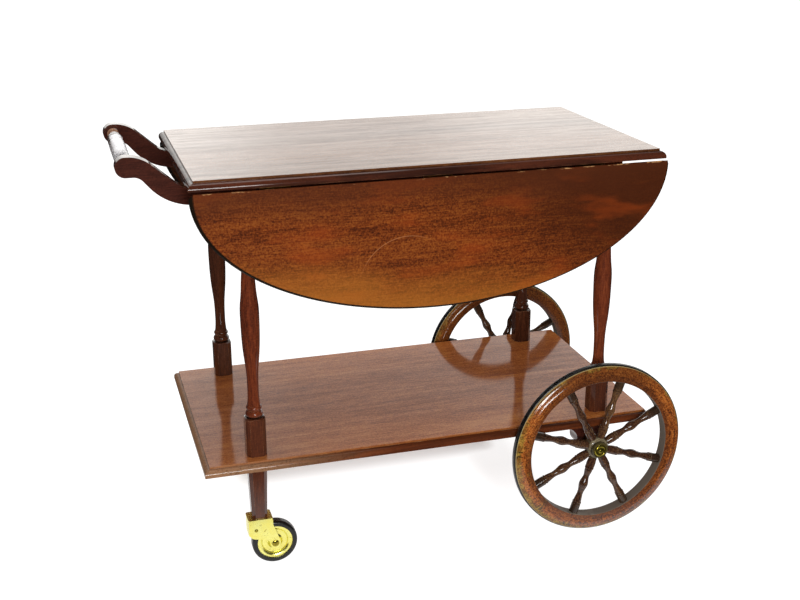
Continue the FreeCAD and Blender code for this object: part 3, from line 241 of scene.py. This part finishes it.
def make_floor():
    """White paper under the trolley: it keeps the shadow, and ends in a dark room.

    What the camera sees is white, but for the shadow well under the shelf, and it sees
    through the paper from below. What varnish mirrors is white near the trolley and dark
    further off, where the paper ends.
    """
    mesh = bpy.data.meshes.new("floor")
    size = FLOOR_REACH
    corners = [(-size, -size, 0), (size, -size, 0), (size, size, 0), (-size, size, 0)]
    mesh.from_pydata(corners, [], [(0, 1, 2, 3)])
    floor = bpy.data.objects.new("floor", mesh)
    bpy.context.scene.collection.objects.link(floor)

    paper = Finish("floor_paper")
    paper.tree.nodes.remove(paper.skin)
    x, y, _ = paper.parts(paper.coordinates)
    seen = paper.seen_by("Camera", "Transmission")
    mirrored = paper.seen_by("Glossy")
    shaded = floor_shadow(paper, x, y)
    away = paper.length(paper.times(x, PAPER_ASPECT), y)
    paper_end = paper.blend(away, *PAPER_ENDS, 1.0, ROOM_DARK)

    white = paper.math("MULTIPLY_ADD", shaded, GLOW_IN_SHADOW, 1.0)
    strength = paper.plus(paper.times(seen, white),
                          paper.times(mirrored, paper.times(paper_end, PAPER_MIRRORED)))
    glow = paper.add("Emission", 0, {"Strength": strength})

    gain = paper.math("MULTIPLY_ADD", shaded, FLOOR_IN_SHADOW, FLOOR_SEEN - FLOOR_GREY)
    grey = paper.math("MULTIPLY_ADD", seen, gain, FLOOR_GREY)
    grey = paper.times(grey, paper.mix(mirrored, WHITE, paper_end))
    diffuse = paper.add("BsdfDiffuse", 0, {"Color": grey})

    both = paper.add("AddShader", 0, {0: diffuse, 1: glow})
    from_below = paper.times(paper.add("NewGeometry", "Backfacing"), paper.seen_by("Camera"))
    see_through = paper.add("MixShader", 0, {0: from_below, 1: both,
                                             2: paper.add("BsdfTransparent")})
    paper.put(paper.tree.nodes["Material Output"].inputs["Surface"], see_through)
    mesh.materials.append(paper.material)


def back_wall(room, turn, height):
    """The lit wall behind the trolley, as varnish mirrors it: brightest low and at its left."""
    wall = room.times(room.blend(height, *WALL_HEIGHT), room.blend(turn, *WALL_LEFT))
    wall = room.times(wall, room.blend(room.beside(turn, WALL_DIP_AT), *WALL_DIP))
    lit = room.times(room.blend(turn, *WALL_STARTS), room.blend(turn, *WALL_ENDS))
    return room.math("MULTIPLY_ADD", lit, room.math("SUBTRACT", wall, ROOM_DARK), ROOM_DARK)


def make_world():
    """White for what is seen, plain grey for what lights, and for varnish a bright back wall."""
    world = bpy.data.worlds.new("studio")
    bpy.context.scene.world = world
    world.use_nodes = True
    room = Graph(world.node_tree)
    x, y, z = room.parts(room.add("TexCoord", "Generated"))
    mirrored = back_wall(room, room.math("ARCTAN2", x, y), z)
    seen = room.seen_by("Camera", "Transmission")
    glossy = room.seen_by("Glossy")
    share = room.blend(y, *ROOM_LIGHT_Y)
    plain = room.plus(seen, room.times(room.math("SUBTRACT", 1.0, seen),
                                       room.times(share, ROOM_LIGHT)))
    strength = room.plus(room.times(room.math("SUBTRACT", 1.0, glossy), plain),
                         room.times(glossy, mirrored))
    sky = room.tree.nodes["Background"]
    room.put(sky.inputs["Color"], room.mix(glossy, WHITE, WALL_COLOUR))
    room.put(sky.inputs["Strength"], strength)


def make_lamp(name, place, width, height, power):
    """A soft lamp aimed at the middle of the trolley."""
    data = bpy.data.lights.new(name, "AREA")
    data.shape = "RECTANGLE"
    data.size = width
    data.size_y = height
    data.energy = power
    lamp = bpy.data.objects.new(name, data)
    bpy.context.scene.collection.objects.link(lamp)
    lamp.location = place
    lamp.rotation_mode = "QUATERNION"
    aim = Vector(LAMPS_AIM) - Vector(place)
    lamp.rotation_quaternion = aim.to_track_quat("-Z", "Y")


# ---------------------------------------------------------------- wood
# Three colours of a wood are its dark, middle and light, and two its dark and light.

ALONG = 0.08   # how much slower the figure changes along the grain than across it

# Noises: their scale, detail, roughness and bend.
BANDS = (60, 4, 0.62, 0.6)
FIBRES = (520, 3, 0.6)
PORES = (1700, 1, 0.5)
SPECKLE = (360, 2, 0.6)
RUBBED = (45, 4, 0.65)
SMUDGES = (24, 3, 0.6)
SWELL = (9, 1, 0.4)

FIBRE_SHARE, BAND_SHARE, PATCH_SHARE = 0.4, 0.35, 0.3   # in the tone of a wood
TONES = (0.52, 0.65, 0.8)   # where its dark, middle and light colour lie
TONE_SHIFT = 0.125          # brings the mean tone to the middle colour
PORE_DEPTH, FIBRE_HEIGHT = -0.8, 0.4
COAT_FOLLOWS = 0.15         # how much of the grain's height the coat still shows


def straight_grain(finish, axis):
    """Coordinates that run slowly along the grain of a straight piece."""
    scale = [1.0, 1.0, 1.0]
    scale["xyz".index(axis)] = ALONG
    return finish.scaled(finish.coordinates, scale)


def polar(finish, centre):
    """(radius, angle, y) of a point about a wheel's axle."""
    x, y, z = finish.parts(finish.coordinates)
    x = finish.math("SUBTRACT", x, centre.x)
    z = finish.math("SUBTRACT", z, centre.z)
    return finish.length(x, z), finish.math("ARCTAN2", z, x), y


class Wood(Finish):
    """Mahogany under a hard varnish: broad bands, fine fibres and short dark pores."""

    def __init__(self, name, coat_rough):
        super().__init__(name, IOR=1.5, Specular_IOR_Level=0.02, Coat_Weight=1.0,
                         Coat_Roughness=coat_rough, Coat_IOR=1.5)

    def figure(self, grain, dark, middle, light, pore_depth=0.4, patch_scale=7.0, speckled=0.55):
        """The wood's colour from bands, fibres, patches, speckle and pores.

        speckled changes the contrast and not the mean tone.
        """
        self.bands = self.noise(grain, *BANDS)
        self.fibres = self.noise(grain, *FIBRES)
        self.pores = self.blend(self.noise(grain, *PORES), 0.56, 0.7)
        patches = self.noise(grain, patch_scale)
        speckle = self.noise(self.coordinates, *SPECKLE)
        tone = self.plus(self.times(self.fibres, FIBRE_SHARE), self.times(self.bands, BAND_SHARE))
        tone = self.plus(tone, self.times(patches, PATCH_SHARE))
        shift = TONE_SHIFT - speckled / 2
        tone = self.plus(tone, self.math("MULTIPLY_ADD", speckle, speckled, shift))
        colour = self.ramp(tone, *zip(TONES, (dark, middle, light)))
        return self.mix(self.times(self.pores, pore_depth), colour, dark)

    def darken_grooves(self, colour, reach, stain, depth=0.85):
        """Dirt and stain left in the grooves, and painted shade there: darker where the piece's
        own occlusion is deep.
        """
        return self.mix(self.blend(self.crevice(reach), 0.35, 0.85, depth, 0.0), colour, stain)

    def wear_edges(self, colour, radius, bare, depth=0.6):
        """Rub the varnish off parts of the sharp edges; on the turned pieces these pale edges are
        also painted highlights.
        """
        rubbed = self.blend(self.noise(self.coordinates, *RUBBED), 0.46, 0.62, 0.0, depth)
        return self.mix(self.times(self.arris(radius), rubbed), colour, bare)

    def varnish(self, colour, rough=0.5, bump=0.00003, wave=0.2):
        """Put the colour on, with open pores under a coat that lies a little uneven."""
        self.set("Base Color", colour)
        smudge = self.noise(self.coordinates, *SMUDGES)
        self.set("Roughness", self.blend(smudge, 0.3, 0.7, rough - 0.06, rough + 0.08))
        fibres = self.times(self.fibres, FIBRE_HEIGHT)
        height = self.math("MULTIPLY_ADD", self.pores, PORE_DEPTH, fibres)
        swell = self.bump(self.noise(self.coordinates, *SWELL), 0.0006, wave)
        self.set("Normal", self.bump(height, bump, 0.6, swell))
        self.set("Coat Normal", self.bump(height, bump * COAT_FOLLOWS, 0.5, swell))


def both_sides(*pieces):
    """The names of the front and back nodes that end in these words."""
    return [side + piece for side in SIDES for piece in pieces]


def dress(finish, slot, *nodes):
    """Give CAD nodes their finish."""
    for node in nodes:
        mesh = NODES[node].data
        mesh.materials.clear()
        mesh.materials.append(finish.material)


MOULDING = 0.009      # width of the moulding round the top and the shelf
LEAF_EDGE = 0.006     # width of the quarter round on a leaf's curve
LEAF_SQUARE = 0.0052  # straight ends of a leaf below its upper edge
FADES = (-0.05, -0.36)  # the x between which a board fades towards the handle
EDGE_SPECKLE = (330, 3, 0.6)
# Dirt and painted shade in a board's grooves.
BOARD_GROOVE_DIRT_AND_SHADE = srgb(26, 14, 10)
BOARD_FADED = srgb(100, 62, 44)


def board_edge(finish, node):
    """0 on a board's flat field and 1 on the moulding that runs round it."""
    low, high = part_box(node)
    middle, half = (low + high) / 2, (high - low) / 2
    x, y, _ = finish.parts(finish.coordinates)
    beyond = []
    for place, centre, reach in ((x, middle.x, half.x), (y, middle.y, half.y)):
        away = finish.beside(place, centre)
        beyond.append(finish.math("SUBTRACT", away, reach - MOULDING))
    return finish.blend(finish.math("MAXIMUM", beyond[0], beyond[1]), -0.0006, 0.0006)


def board_finish(node, field, edge, bare, pale=0.0):
    """A moulded board; pale says how far its handle end has lost its colour and edge stain.

    field is its flat face, edge the stain on its moulding, and bare the wood where that is
    rubbed.
    """
    finish = Wood(node + "_wood", 0.09)
    grain = straight_grain(finish, "x")
    colour = finish.figure(grain, *field, speckled=0.4)
    stained = finish.ramp(finish.bands, (0.35, edge[0]), (0.65, edge[1]))
    faded = finish.blend(finish.parts(finish.coordinates)[0], *FADES, 0.0, pale)
    stained = finish.mix(faded, stained, bare)
    speckle = finish.noise(finish.coordinates, *EDGE_SPECKLE)
    stained = finish.mix(finish.blend(speckle, 0.5, 0.68, 0.0, 0.5), stained, edge[0])
    colour = finish.mix(finish.times(faded, 0.6), colour, BOARD_FADED)
    moulding = board_edge(finish, node)
    colour = finish.mix(moulding, colour, stained)
    # dirt and painted shade in the grooves
    colour = finish.darken_grooves(colour, 0.004, BOARD_GROOVE_DIRT_AND_SHADE, 0.8)
    colour = finish.wear_edges(colour, 0.0015, bare)
    finish.varnish(colour)
    streaks = finish.plus(finish.times(finish.bands, 0.6), finish.times(finish.fibres, 0.4))
    coat = finish.blend(streaks, 0.38, 0.62, 0.8, 1.0)
    duller = finish.math("MULTIPLY_ADD", moulding, -0.35, 1.0)
    finish.set("Coat Weight", finish.times(coat, duller))
    dress(finish, "mahogany", node)


SCRATCH_MIDDLE = (-0.0288, 0.5023)   # x and z that a long curved scratch bends round
SCRATCH_BEND = 0.0842                # at this radius
SCRATCH_TURN = 1.95                  # and its middle at this angle, from +X towards +Z
SCRATCH = srgb(176, 112, 66)


def scratched(finish, colour, x, z):
    """A faint scratch in a long low bow, on a leaf's outer face."""
    x = finish.math("SUBTRACT", x, SCRATCH_MIDDLE[0])
    z = finish.math("SUBTRACT", z, SCRATCH_MIDDLE[1])
    off_bend = finish.beside(finish.length(x, z), SCRATCH_BEND)
    off_middle = finish.beside(finish.math("ARCTAN2", z, x), SCRATCH_TURN)
    mark = finish.times(finish.blend(off_bend, 0.0002, 0.0012, 0.6, 0.0),
                        finish.blend(off_middle, 0.3, 1.0, 1.0, 0.0))
    return finish.mix(mark, colour, SCRATCH)


LEAF_STRETCH = (0.3, 1, 1)
LEAF_CLOUDS = (14, 4, 0.6)
LEAF_PATCHES = (26, 3, 0.55)
LEAF_CHIPPED = (150, 3, 0.6)
LEAF_WOOD = (srgb(62, 25, 7), srgb(112, 50, 15), srgb(146, 78, 27))
LEAF_DARK_END = srgb(64, 27, 9)
LEAF_RED = srgb(150, 62, 17)
# The next colour is a painted shadow on a leaf just below its hinges, under the top's moulding.
LEAF_TOP_SHADOW = srgb(80, 38, 18)
LEAF_GOLD = srgb(182, 112, 38)
# Painted shade on a leaf's inner face.
LEAF_INSIDE_SHADE = srgb(30, 17, 10)
LEAF_RIM = srgb(28, 20, 12)
LEAF_CHIPS = srgb(196, 146, 96)


def leaf_finish(side):
    """A leaf: orange-brown, darker at its wheel end, golden low down, with a dark rim.

    across runs from -1 to 1 along the hinges, and down from 0 at the hinges to 1, so that
    their length is 1 all along the leaf's curve.
    """
    node = side + "_leaf"
    finish = Wood(node + "_wood", 0.1)
    colour = finish.figure(straight_grain(finish, "x"), *LEAF_WOOD, 0.45, 9)
    low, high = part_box(node)
    x, y, z = finish.parts(finish.coordinates)
    half = (high.x - low.x) / 2 - LEAF_EDGE
    hinge_z = high.z - LEAF_SQUARE
    drop = hinge_z - low.z - LEAF_EDGE
    across = finish.math("DIVIDE", finish.math("SUBTRACT", x, (low.x + high.x) / 2), half)
    down = finish.math("DIVIDE", finish.math("SUBTRACT", hinge_z, z), drop)
    stretched = finish.scaled(finish.coordinates, LEAF_STRETCH)

    cloud = finish.noise(stretched, *LEAF_CLOUDS)
    uneven = finish.math("MULTIPLY_ADD", cloud, 0.5, -0.25)
    away = finish.plus(finish.math("MULTIPLY_ADD", down, -0.7, across), uneven)
    colour = finish.mix(finish.blend(away, -0.25, 0.6, 0.0, 0.9), colour, LEAF_DARK_END)
    red = finish.noise(stretched, *LEAF_PATCHES)
    colour = finish.mix(finish.blend(red, 0.5, 0.72, 0.0, 0.45), colour, LEAF_RED)
    lowered = finish.plus(down, uneven)
    # painted shadow: the leaf darker just below its hinges, under the top's moulding
    top_shadow = finish.blend(lowered, -0.05, 0.35, 0.7, 0.0)
    colour = finish.mix(top_shadow, colour, LEAF_TOP_SHADOW)
    lower = finish.blend(finish.math("MULTIPLY_ADD", across, -0.22, lowered),
                         0.6, 1.05, 0.0, 0.5)
    colour = finish.mix(lower, colour, LEAF_GOLD)
    if side == "front":
        colour = scratched(finish, colour, x, z)

    # painted shade: the leaf's inner face much darker
    inner_face = min(abs(low.y), abs(high.y))
    inside = finish.blend(finish.math("ABSOLUTE", y), inner_face + 0.0012, inner_face + 0.0004,
                          0.0, 0.75)
    colour = finish.mix(inside, colour, LEAF_INSIDE_SHADE)
    rim = finish.blend(finish.length(across, down), 0.997, 1.004)
    colour = finish.mix(rim, colour, LEAF_RIM)
    chips = finish.noise(stretched, *LEAF_CHIPPED)
    chips = finish.plus(chips, finish.blend(across, 0.2, 0.9, 0.0, 0.07))
    chipped = finish.times(finish.blend(chips, 0.58, 0.68, 0.0, 0.8),
                           finish.blend(z, high.z - 0.0022, high.z - 0.0012))
    colour = finish.mix(chipped, colour, LEAF_CHIPS)
    finish.varnish(colour)
    finish.set("Coat Weight", finish.math("MULTIPLY_ADD", rim, -0.6, 0.9))
    dress(finish, "mahogany", node)


# The colour that a turned piece turns towards below a given height.
TURNED_DARKER_BELOW = srgb(52, 38, 28)
# Dirt and painted shade in the grooves of turned pieces.
TURNED_GROOVE_DIRT_AND_SHADE = srgb(24, 12, 8)
# Pale worn edges of turned pieces, which also stand as painted highlights.
TURNED_BARE_AND_HIGHLIGHT = srgb(176, 130, 98)
BLOCK_TOP = 0.288   # top of the legs' square blocks on the shelf; the front legs are darker and greyer below it


def turned_finish(name, nodes, axis, dark, middle, light, darker_below=0.0):
    """Straight-grained pieces along an axis, darker and greyer below a height."""
    finish = Wood(name, 0.07)
    colour = finish.figure(straight_grain(finish, axis), dark, middle, light, speckled=0.25)
    height = finish.parts(finish.coordinates)[2]
    # the piece is darker and greyer below that height
    dull = finish.blend(height, darker_below, darker_below - 0.004, 0.0, 0.5)
    colour = finish.mix(dull, colour, TURNED_DARKER_BELOW)
    # dirt and painted shade in the grooves
    colour = finish.darken_grooves(colour, 0.006, TURNED_GROOVE_DIRT_AND_SHADE)
    # pale edges: worn varnish, and painted highlights on bevels and arm tops
    colour = finish.wear_edges(colour, 0.0015, TURNED_BARE_AND_HIGHLIGHT, 0.7)
    finish.varnish(colour)
    dress(finish, "mahogany", *nodes)


def wheel_centre(side):
    low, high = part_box(side + "_wheel_tyre")
    return (low + high) / 2


# Radii, and the height of the roll in the rim's varnish.
RIM_INSIDE = 0.1322          # its matt inner face ends just inside this
RIM_MIDDLE = 0.144
RIM_ROLL = (0.1435, 0.1565)  # the outer half of its face
RIM_LIP = (0.1594, 0.1602)   # the pale line beside the tyre
SPOKE_MIDDLE = 0.08
HUB_MIDDLE = 0.02
HUB_NOSE_AT = (0.0158, 0.0148)
ROLL_HEIGHT = -0.0039

RIM_SWELL = (60, 2, 0.5)
RIM_WEAR = (30, 4, 0.65)
RIM_CRACKED = (230, 2, 0.6)
RIM_DOTS = (430, 2, 0.6)
RIM_WOOD = (srgb(78, 35, 12), srgb(158, 82, 30), srgb(204, 124, 52))
# Painted shade: the rim's top, and the whole back wheel's rim, are painted darker.
RIM_TOP_SHADE = srgb(66, 34, 14)
RIM_BACK_SHADE = srgb(52, 30, 18)
RIM_INWARD = srgb(78, 40, 22)
RIM_OLIVE = (srgb(108, 84, 30), srgb(176, 150, 62))
RIM_CRACKS = srgb(44, 26, 13)
RIM_DARK_DOTS = srgb(40, 22, 12)
RIM_PALE_DOTS = srgb(180, 118, 58)
RIM_LIP_PALE = srgb(186, 168, 116)
RIM_MATT = (srgb(112, 102, 92), srgb(142, 132, 120))
OLIVE_TOWARDS = 3.7   # the stain has worn most at this angle, left and low


def rounded(finish, radius):
    """Varnish that lies in a soft roll over the outer half of the rim's face."""
    roll = finish.blend(radius, *RIM_ROLL, 0.0, ROLL_HEIGHT)
    swell = finish.bump(finish.noise(finish.coordinates, *RIM_SWELL), 0.0004, 0.5)
    return finish.bump(roll, 1.0, 1.0, swell)


def rim_finish(side):
    """Bent rim: speckled orange-brown, olive where the stain has worn, matt grey inside."""
    finish = Wood(side + "_rim_wood", 0.13)
    radius, angle, y = polar(finish, wheel_centre(side))
    grain = finish.vector(radius, finish.times(angle, RIM_MIDDLE * ALONG), y)
    colour = finish.figure(grain, *RIM_WOOD, 0.5, 16)
    # painted shade: the rim darker towards its top
    shaded_top = finish.blend(finish.math("SINE", angle), 0.5, 1.0, 0.0, 0.62)
    colour = finish.mix(shaded_top, colour, RIM_TOP_SHADE)
    # painted shade: the back wheel's rim darker
    if side == "back":
        colour = finish.mix(0.4, colour, RIM_BACK_SHADE)
    inward = finish.blend(radius, 0.148, 0.134, 0.0, 0.6)
    colour = finish.mix(inward, colour, RIM_INWARD)

    worn = finish.noise(finish.coordinates, *RIM_WEAR)
    toward = finish.math("COSINE", finish.math("SUBTRACT", angle, OLIVE_TOWARDS))
    worn = finish.plus(worn, finish.blend(toward, -0.3, 0.9, -0.1, 0.12))
    worn = finish.plus(worn, finish.blend(radius, 0.147, 0.159, -0.2, 0.14))
    olive = finish.mix(finish.blend(finish.noise(finish.coordinates, 90), 0.4, 0.6), *RIM_OLIVE)
    faded = 0.7 if side == "front" else 0.4
    colour = finish.mix(finish.blend(worn, 0.46, 0.74, 0, faded), colour, olive)
    across_rim = finish.vector(finish.times(radius, 0.15), finish.times(angle, RIM_MIDDLE), y)
    cracks = finish.noise(across_rim, *RIM_CRACKED)
    cracks = finish.times(finish.blend(cracks, 0.58, 0.66, 0, 0.8),
                          finish.blend(worn, 0.42, 0.6))
    colour = finish.mix(cracks, colour, RIM_CRACKS)

    dots = finish.noise(finish.coordinates, *RIM_DOTS)
    colour = finish.mix(finish.blend(dots, 0.52, 0.66, 0, 0.75), colour, RIM_DARK_DOTS)
    colour = finish.mix(finish.blend(dots, 0.4, 0.3, 0, 0.3), colour, RIM_PALE_DOTS)
    # a pale line on the rim beside the tyre
    colour = finish.mix(finish.times(finish.blend(radius, *RIM_LIP), 0.7), colour, RIM_LIP_PALE)
    inside = finish.blend(radius, RIM_INSIDE + 0.0003, RIM_INSIDE)
    matt = finish.ramp(worn, (0.35, RIM_MATT[0]), (0.65, RIM_MATT[1]))
    colour = finish.mix(inside, colour, matt)
    finish.varnish(colour, 0.4, 0.00004, 0.35)
    finish.set("Coat Normal", rounded(finish, radius))
    finish.set("Coat Weight", finish.math("SUBTRACT", 1.0, inside))
    dress(finish, "wheel_wood", side + "_wheel_rim")


SPOKE_WOOD = (srgb(34, 20, 13), srgb(70, 42, 28), srgb(108, 78, 48))
SPOKE_ENDS = srgb(38, 30, 22)
# Dirt and painted shade in the spokes' grooves.
SPOKE_GROOVE_DIRT_AND_SHADE = srgb(18, 12, 9)
SPOKE_BARE = srgb(170, 142, 104)
# The hub drum's pale grey is partly its wood and partly a painted sheen.
HUB_WOOD_AND_SHEEN = (srgb(60, 48, 34), srgb(104, 90, 66), srgb(150, 138, 110))
HUB_NOSE = (srgb(40, 34, 18), srgb(76, 66, 34))
# Dirt and painted shade in the hub's grooves.
HUB_GROOVE_DIRT_AND_SHADE = srgb(20, 15, 10)


def spoke_finish(side):
    """Dark turned spokes with rubbed beads, darkest where they enter the rim."""
    finish = Wood(side + "_spoke_wood", 0.07)
    radius, angle, y = polar(finish, wheel_centre(side))
    grain = finish.vector(finish.times(radius, ALONG), finish.times(angle, SPOKE_MIDDLE), y)
    colour = finish.figure(grain, *SPOKE_WOOD, 0.4, 26)
    colour = finish.mix(finish.blend(radius, 0.104, 0.124, 0, 0.7), colour, SPOKE_ENDS)
    # dirt and painted shade in the grooves
    colour = finish.darken_grooves(colour, 0.003, SPOKE_GROOVE_DIRT_AND_SHADE)
    colour = finish.wear_edges(colour, 0.001, SPOKE_BARE, 0.8)
    finish.varnish(colour)
    dress(finish, "wheel_wood", side + "_wheel_spokes")


def hub_finish(side):
    """The hub: greenish grey-brown drum, its pale grey partly a painted sheen, and a dark olive
    nose round the cap.
    """
    finish = Wood(side + "_hub_wood", 0.12)
    radius, angle, y = polar(finish, wheel_centre(side))
    grain = finish.vector(radius, finish.times(angle, HUB_MIDDLE * ALONG), y)
    colour = finish.figure(grain, *HUB_WOOD_AND_SHEEN, 0.5, 40)
    dark_olive = finish.ramp(finish.bands, (0.35, HUB_NOSE[0]), (0.65, HUB_NOSE[1]))
    colour = finish.mix(finish.blend(radius, *HUB_NOSE_AT), colour, dark_olive)
    # dirt and painted shade in the grooves
    colour = finish.darken_grooves(colour, 0.004, HUB_GROOVE_DIRT_AND_SHADE)
    finish.varnish(colour)
    dress(finish, "wheel_wood", side + "_wheel_hub")


TOP_FIELD = (srgb(80, 44, 20), srgb(118, 70, 33), srgb(146, 94, 48))
TOP_EDGE = (srgb(40, 20, 14), srgb(86, 42, 26))
TOP_BARE = srgb(150, 104, 72)
# The shelf's wood is painted lighter than the top's, as painted light for the shade it lies in
# under the top and leaves.
SHELF_LIT_FIELD = (srgb(132, 68, 32), srgb(185, 105, 51), srgb(214, 138, 70))
SHELF_EDGE = (srgb(62, 28, 15), srgb(110, 54, 26))
SHELF_BARE = srgb(190, 146, 108)
SHELF_PALE = 0.5
FRONT_LEG_WOOD = (srgb(56, 22, 12), srgb(100, 43, 22), srgb(132, 64, 34))
# The back legs' wood is the front legs' wood painted darker: painted shade.
BACK_LEG_SHADED_WOOD = (srgb(36, 17, 10), srgb(66, 33, 19), srgb(92, 50, 30))
RAIL_WOOD = (srgb(54, 25, 18), srgb(72, 34, 25), srgb(90, 45, 32))
END_WOOD = (srgb(26, 13, 9), srgb(38, 19, 13), srgb(50, 27, 19))
COLLAR_WOOD = (srgb(120, 76, 52), srgb(168, 120, 92), srgb(204, 166, 140))


def wood_finishes():
    board_finish("top_board", TOP_FIELD, TOP_EDGE, TOP_BARE)
    board_finish("shelf_board", SHELF_LIT_FIELD, SHELF_EDGE, SHELF_BARE, SHELF_PALE)
    for side in SIDES:
        leaf_finish(side)
        rim_finish(side)
        spoke_finish(side)
        hub_finish(side)
    legs = [node for node in NODES if node.endswith("_leg")]
    turned_finish("front_leg_wood", [leg for leg in legs if "front" in leg], "z",
                  *FRONT_LEG_WOOD, BLOCK_TOP)
    # the back legs take the darker copy of the leg wood: painted shade
    turned_finish("back_leg_shaded_wood", [leg for leg in legs if "back" in leg], "z", *BACK_LEG_SHADED_WOOD)
    rails = both_sides("_apron", "_axle_block", "_handle_arm")
    turned_finish("rail_wood", rails, "x", *RAIL_WOOD)
    turned_finish("end_wood", ["handle_end_apron", "wheel_end_apron"], "y", *END_WOOD)
    turned_finish("collar_wood", ["bar_collars"], "y", *COLLAR_WOOD)


# ---------------------------------------------------------------- metal, rubber and glass
# Three colours of a brass are its dull and its bright, and its tarnish.

CASTER_BRASS = (srgb(246, 234, 118), srgb(255, 251, 152), srgb(140, 108, 36))
# Tarnished brass, kept dark also as painted shade for parts in gaps and hollows, such as the hinge
# flaps between top and leaf.
AGED_SHADED_BRASS = (srgb(70, 44, 22), srgb(104, 72, 36), srgb(40, 26, 14))
CAP_BRASS = (srgb(134, 118, 40), srgb(190, 174, 68), srgb(60, 52, 20))
BRASS_CLOUDS = (60, 4, 0.6)
BRASS_SPOTS = (210, 3, 0.6)
BRASS_SCRATCHES = (900, 2)
STEEL = (srgb(138, 136, 132), srgb(176, 174, 170))
RUBBER = (srgb(9, 9, 9), srgb(24, 22, 20))


def brass(name, colours, rough, nodes):
    """Cloudy brass from a dull and a bright colour, with tarnish in spots and grooves."""
    dull, bright, tarnish = colours
    finish = Finish(name, Metallic=1.0)
    cloud = finish.noise(finish.coordinates, *BRASS_CLOUDS)
    colour = finish.ramp(cloud, (0.3, dull), (0.65, bright))
    spots = finish.noise(finish.coordinates, *BRASS_SPOTS)
    colour = finish.mix(finish.blend(spots, 0.6, 0.72, 0.0, 0.5), colour, tarnish)
    groove = finish.blend(finish.crevice(0.004), 0.3, 0.9, 0.75, 0.0)
    finish.set("Base Color", finish.mix(groove, colour, tarnish))
    finish.set("Roughness", finish.blend(cloud, 0.3, 0.7, rough, rough + 0.12))
    scratches = finish.noise(finish.scaled(finish.coordinates, (1, 0.2, 1)), *BRASS_SCRATCHES)
    finish.set("Normal", finish.bump(scratches, 0.00001, 0.4))
    dress(finish, "brass", *nodes)


def brass_finishes():
    brass("caster_brass", CASTER_BRASS, 0.2,
          ["caster_plates"] + both_sides("_caster_fork", "_caster_disc"))
    # tarnish and painted shade: brass in the gaps and hollows is kept dark
    brass("aged_shaded_brass", AGED_SHADED_BRASS, 0.36,
          ["axle_spacers", "hinge_top_flaps"]
          + both_sides("_stay_bracket", "_hinge_leaf_flaps", "_leaf_hinge_screws",
                       "_stay_leaf_plate", "_stay_arm", "_stay_link", "_wheel_bush"))
    brass("cap_brass", CAP_BRASS, 0.22, both_sides("_wheel_cap", "_caster_bolt"))


def steel_finish():
    finish = Finish("bright_steel", Metallic=1.0)
    cloud = finish.noise(finish.coordinates, 90, 3)
    finish.set("Base Color", finish.ramp(cloud, (0.3, STEEL[0]), (0.7, STEEL[1])))
    finish.set("Roughness", finish.blend(cloud, 0.3, 0.7, 0.25, 0.45))
    dress(finish, "steel", "axle", "axle_end_washers", "hinge_pins", "caster_kingpins")


def rubber_finish():
    finish = Finish("black_rubber", IOR=1.5)
    dust = finish.noise(finish.coordinates, 70, 4, 0.65)
    finish.set("Base Color", finish.ramp(dust, (0.35, RUBBER[0]), (0.75, RUBBER[1])))
    finish.set("Roughness", finish.blend(dust, 0.3, 0.7, 0.22, 0.4))
    dress(finish, "rubber", *both_sides("_wheel_tyre", "_caster_tyre"))


BAR_GLASS = (-0.108, 0.086)   # the bar is glass between these, and wood beyond
GLASS_TINTS = ((0.86, 0.84, 0.9, 1), (0.98, 0.97, 1.0, 1))
BAR_ENDS = (srgb(150, 108, 84), srgb(206, 170, 146))


def glass_finish():
    """The handle bar: clear glass between two pale turned ends."""
    finish = Finish("clear_glass", IOR=1.3)
    y = finish.parts(finish.coordinates)[1]
    out = finish.math("MAXIMUM", finish.math("SUBTRACT", BAR_GLASS[0], y),
                      finish.math("SUBTRACT", y, BAR_GLASS[1]))
    wooden = finish.blend(out, 0.0, 0.001)
    tint = finish.noise(finish.coordinates, 40, 2)
    glass = finish.ramp(tint, (0.3, GLASS_TINTS[0]), (0.7, GLASS_TINTS[1]))
    grain = finish.noise(straight_grain(finish, "y"), 300)
    wood = finish.ramp(grain, (0.35, BAR_ENDS[0]), (0.65, BAR_ENDS[1]))
    finish.set("Base Color", finish.mix(wooden, glass, wood))
    finish.set("Transmission Weight", finish.math("SUBTRACT", 1.0, wooden))
    finish.set("Roughness", finish.blend(wooden, 0.0, 1.0, 0.2, 0.35))
    dress(finish, "glass", "handle_bar")


bpy.context.scene.view_settings.view_transform = "Standard"
make_camera()
make_floor()
make_world()
make_lamp(*KEY_LAMP)
make_lamp(*TOP_LAMP)
wood_finishes()
brass_finishes()
steel_finish()
rubber_finish()
glass_finish()
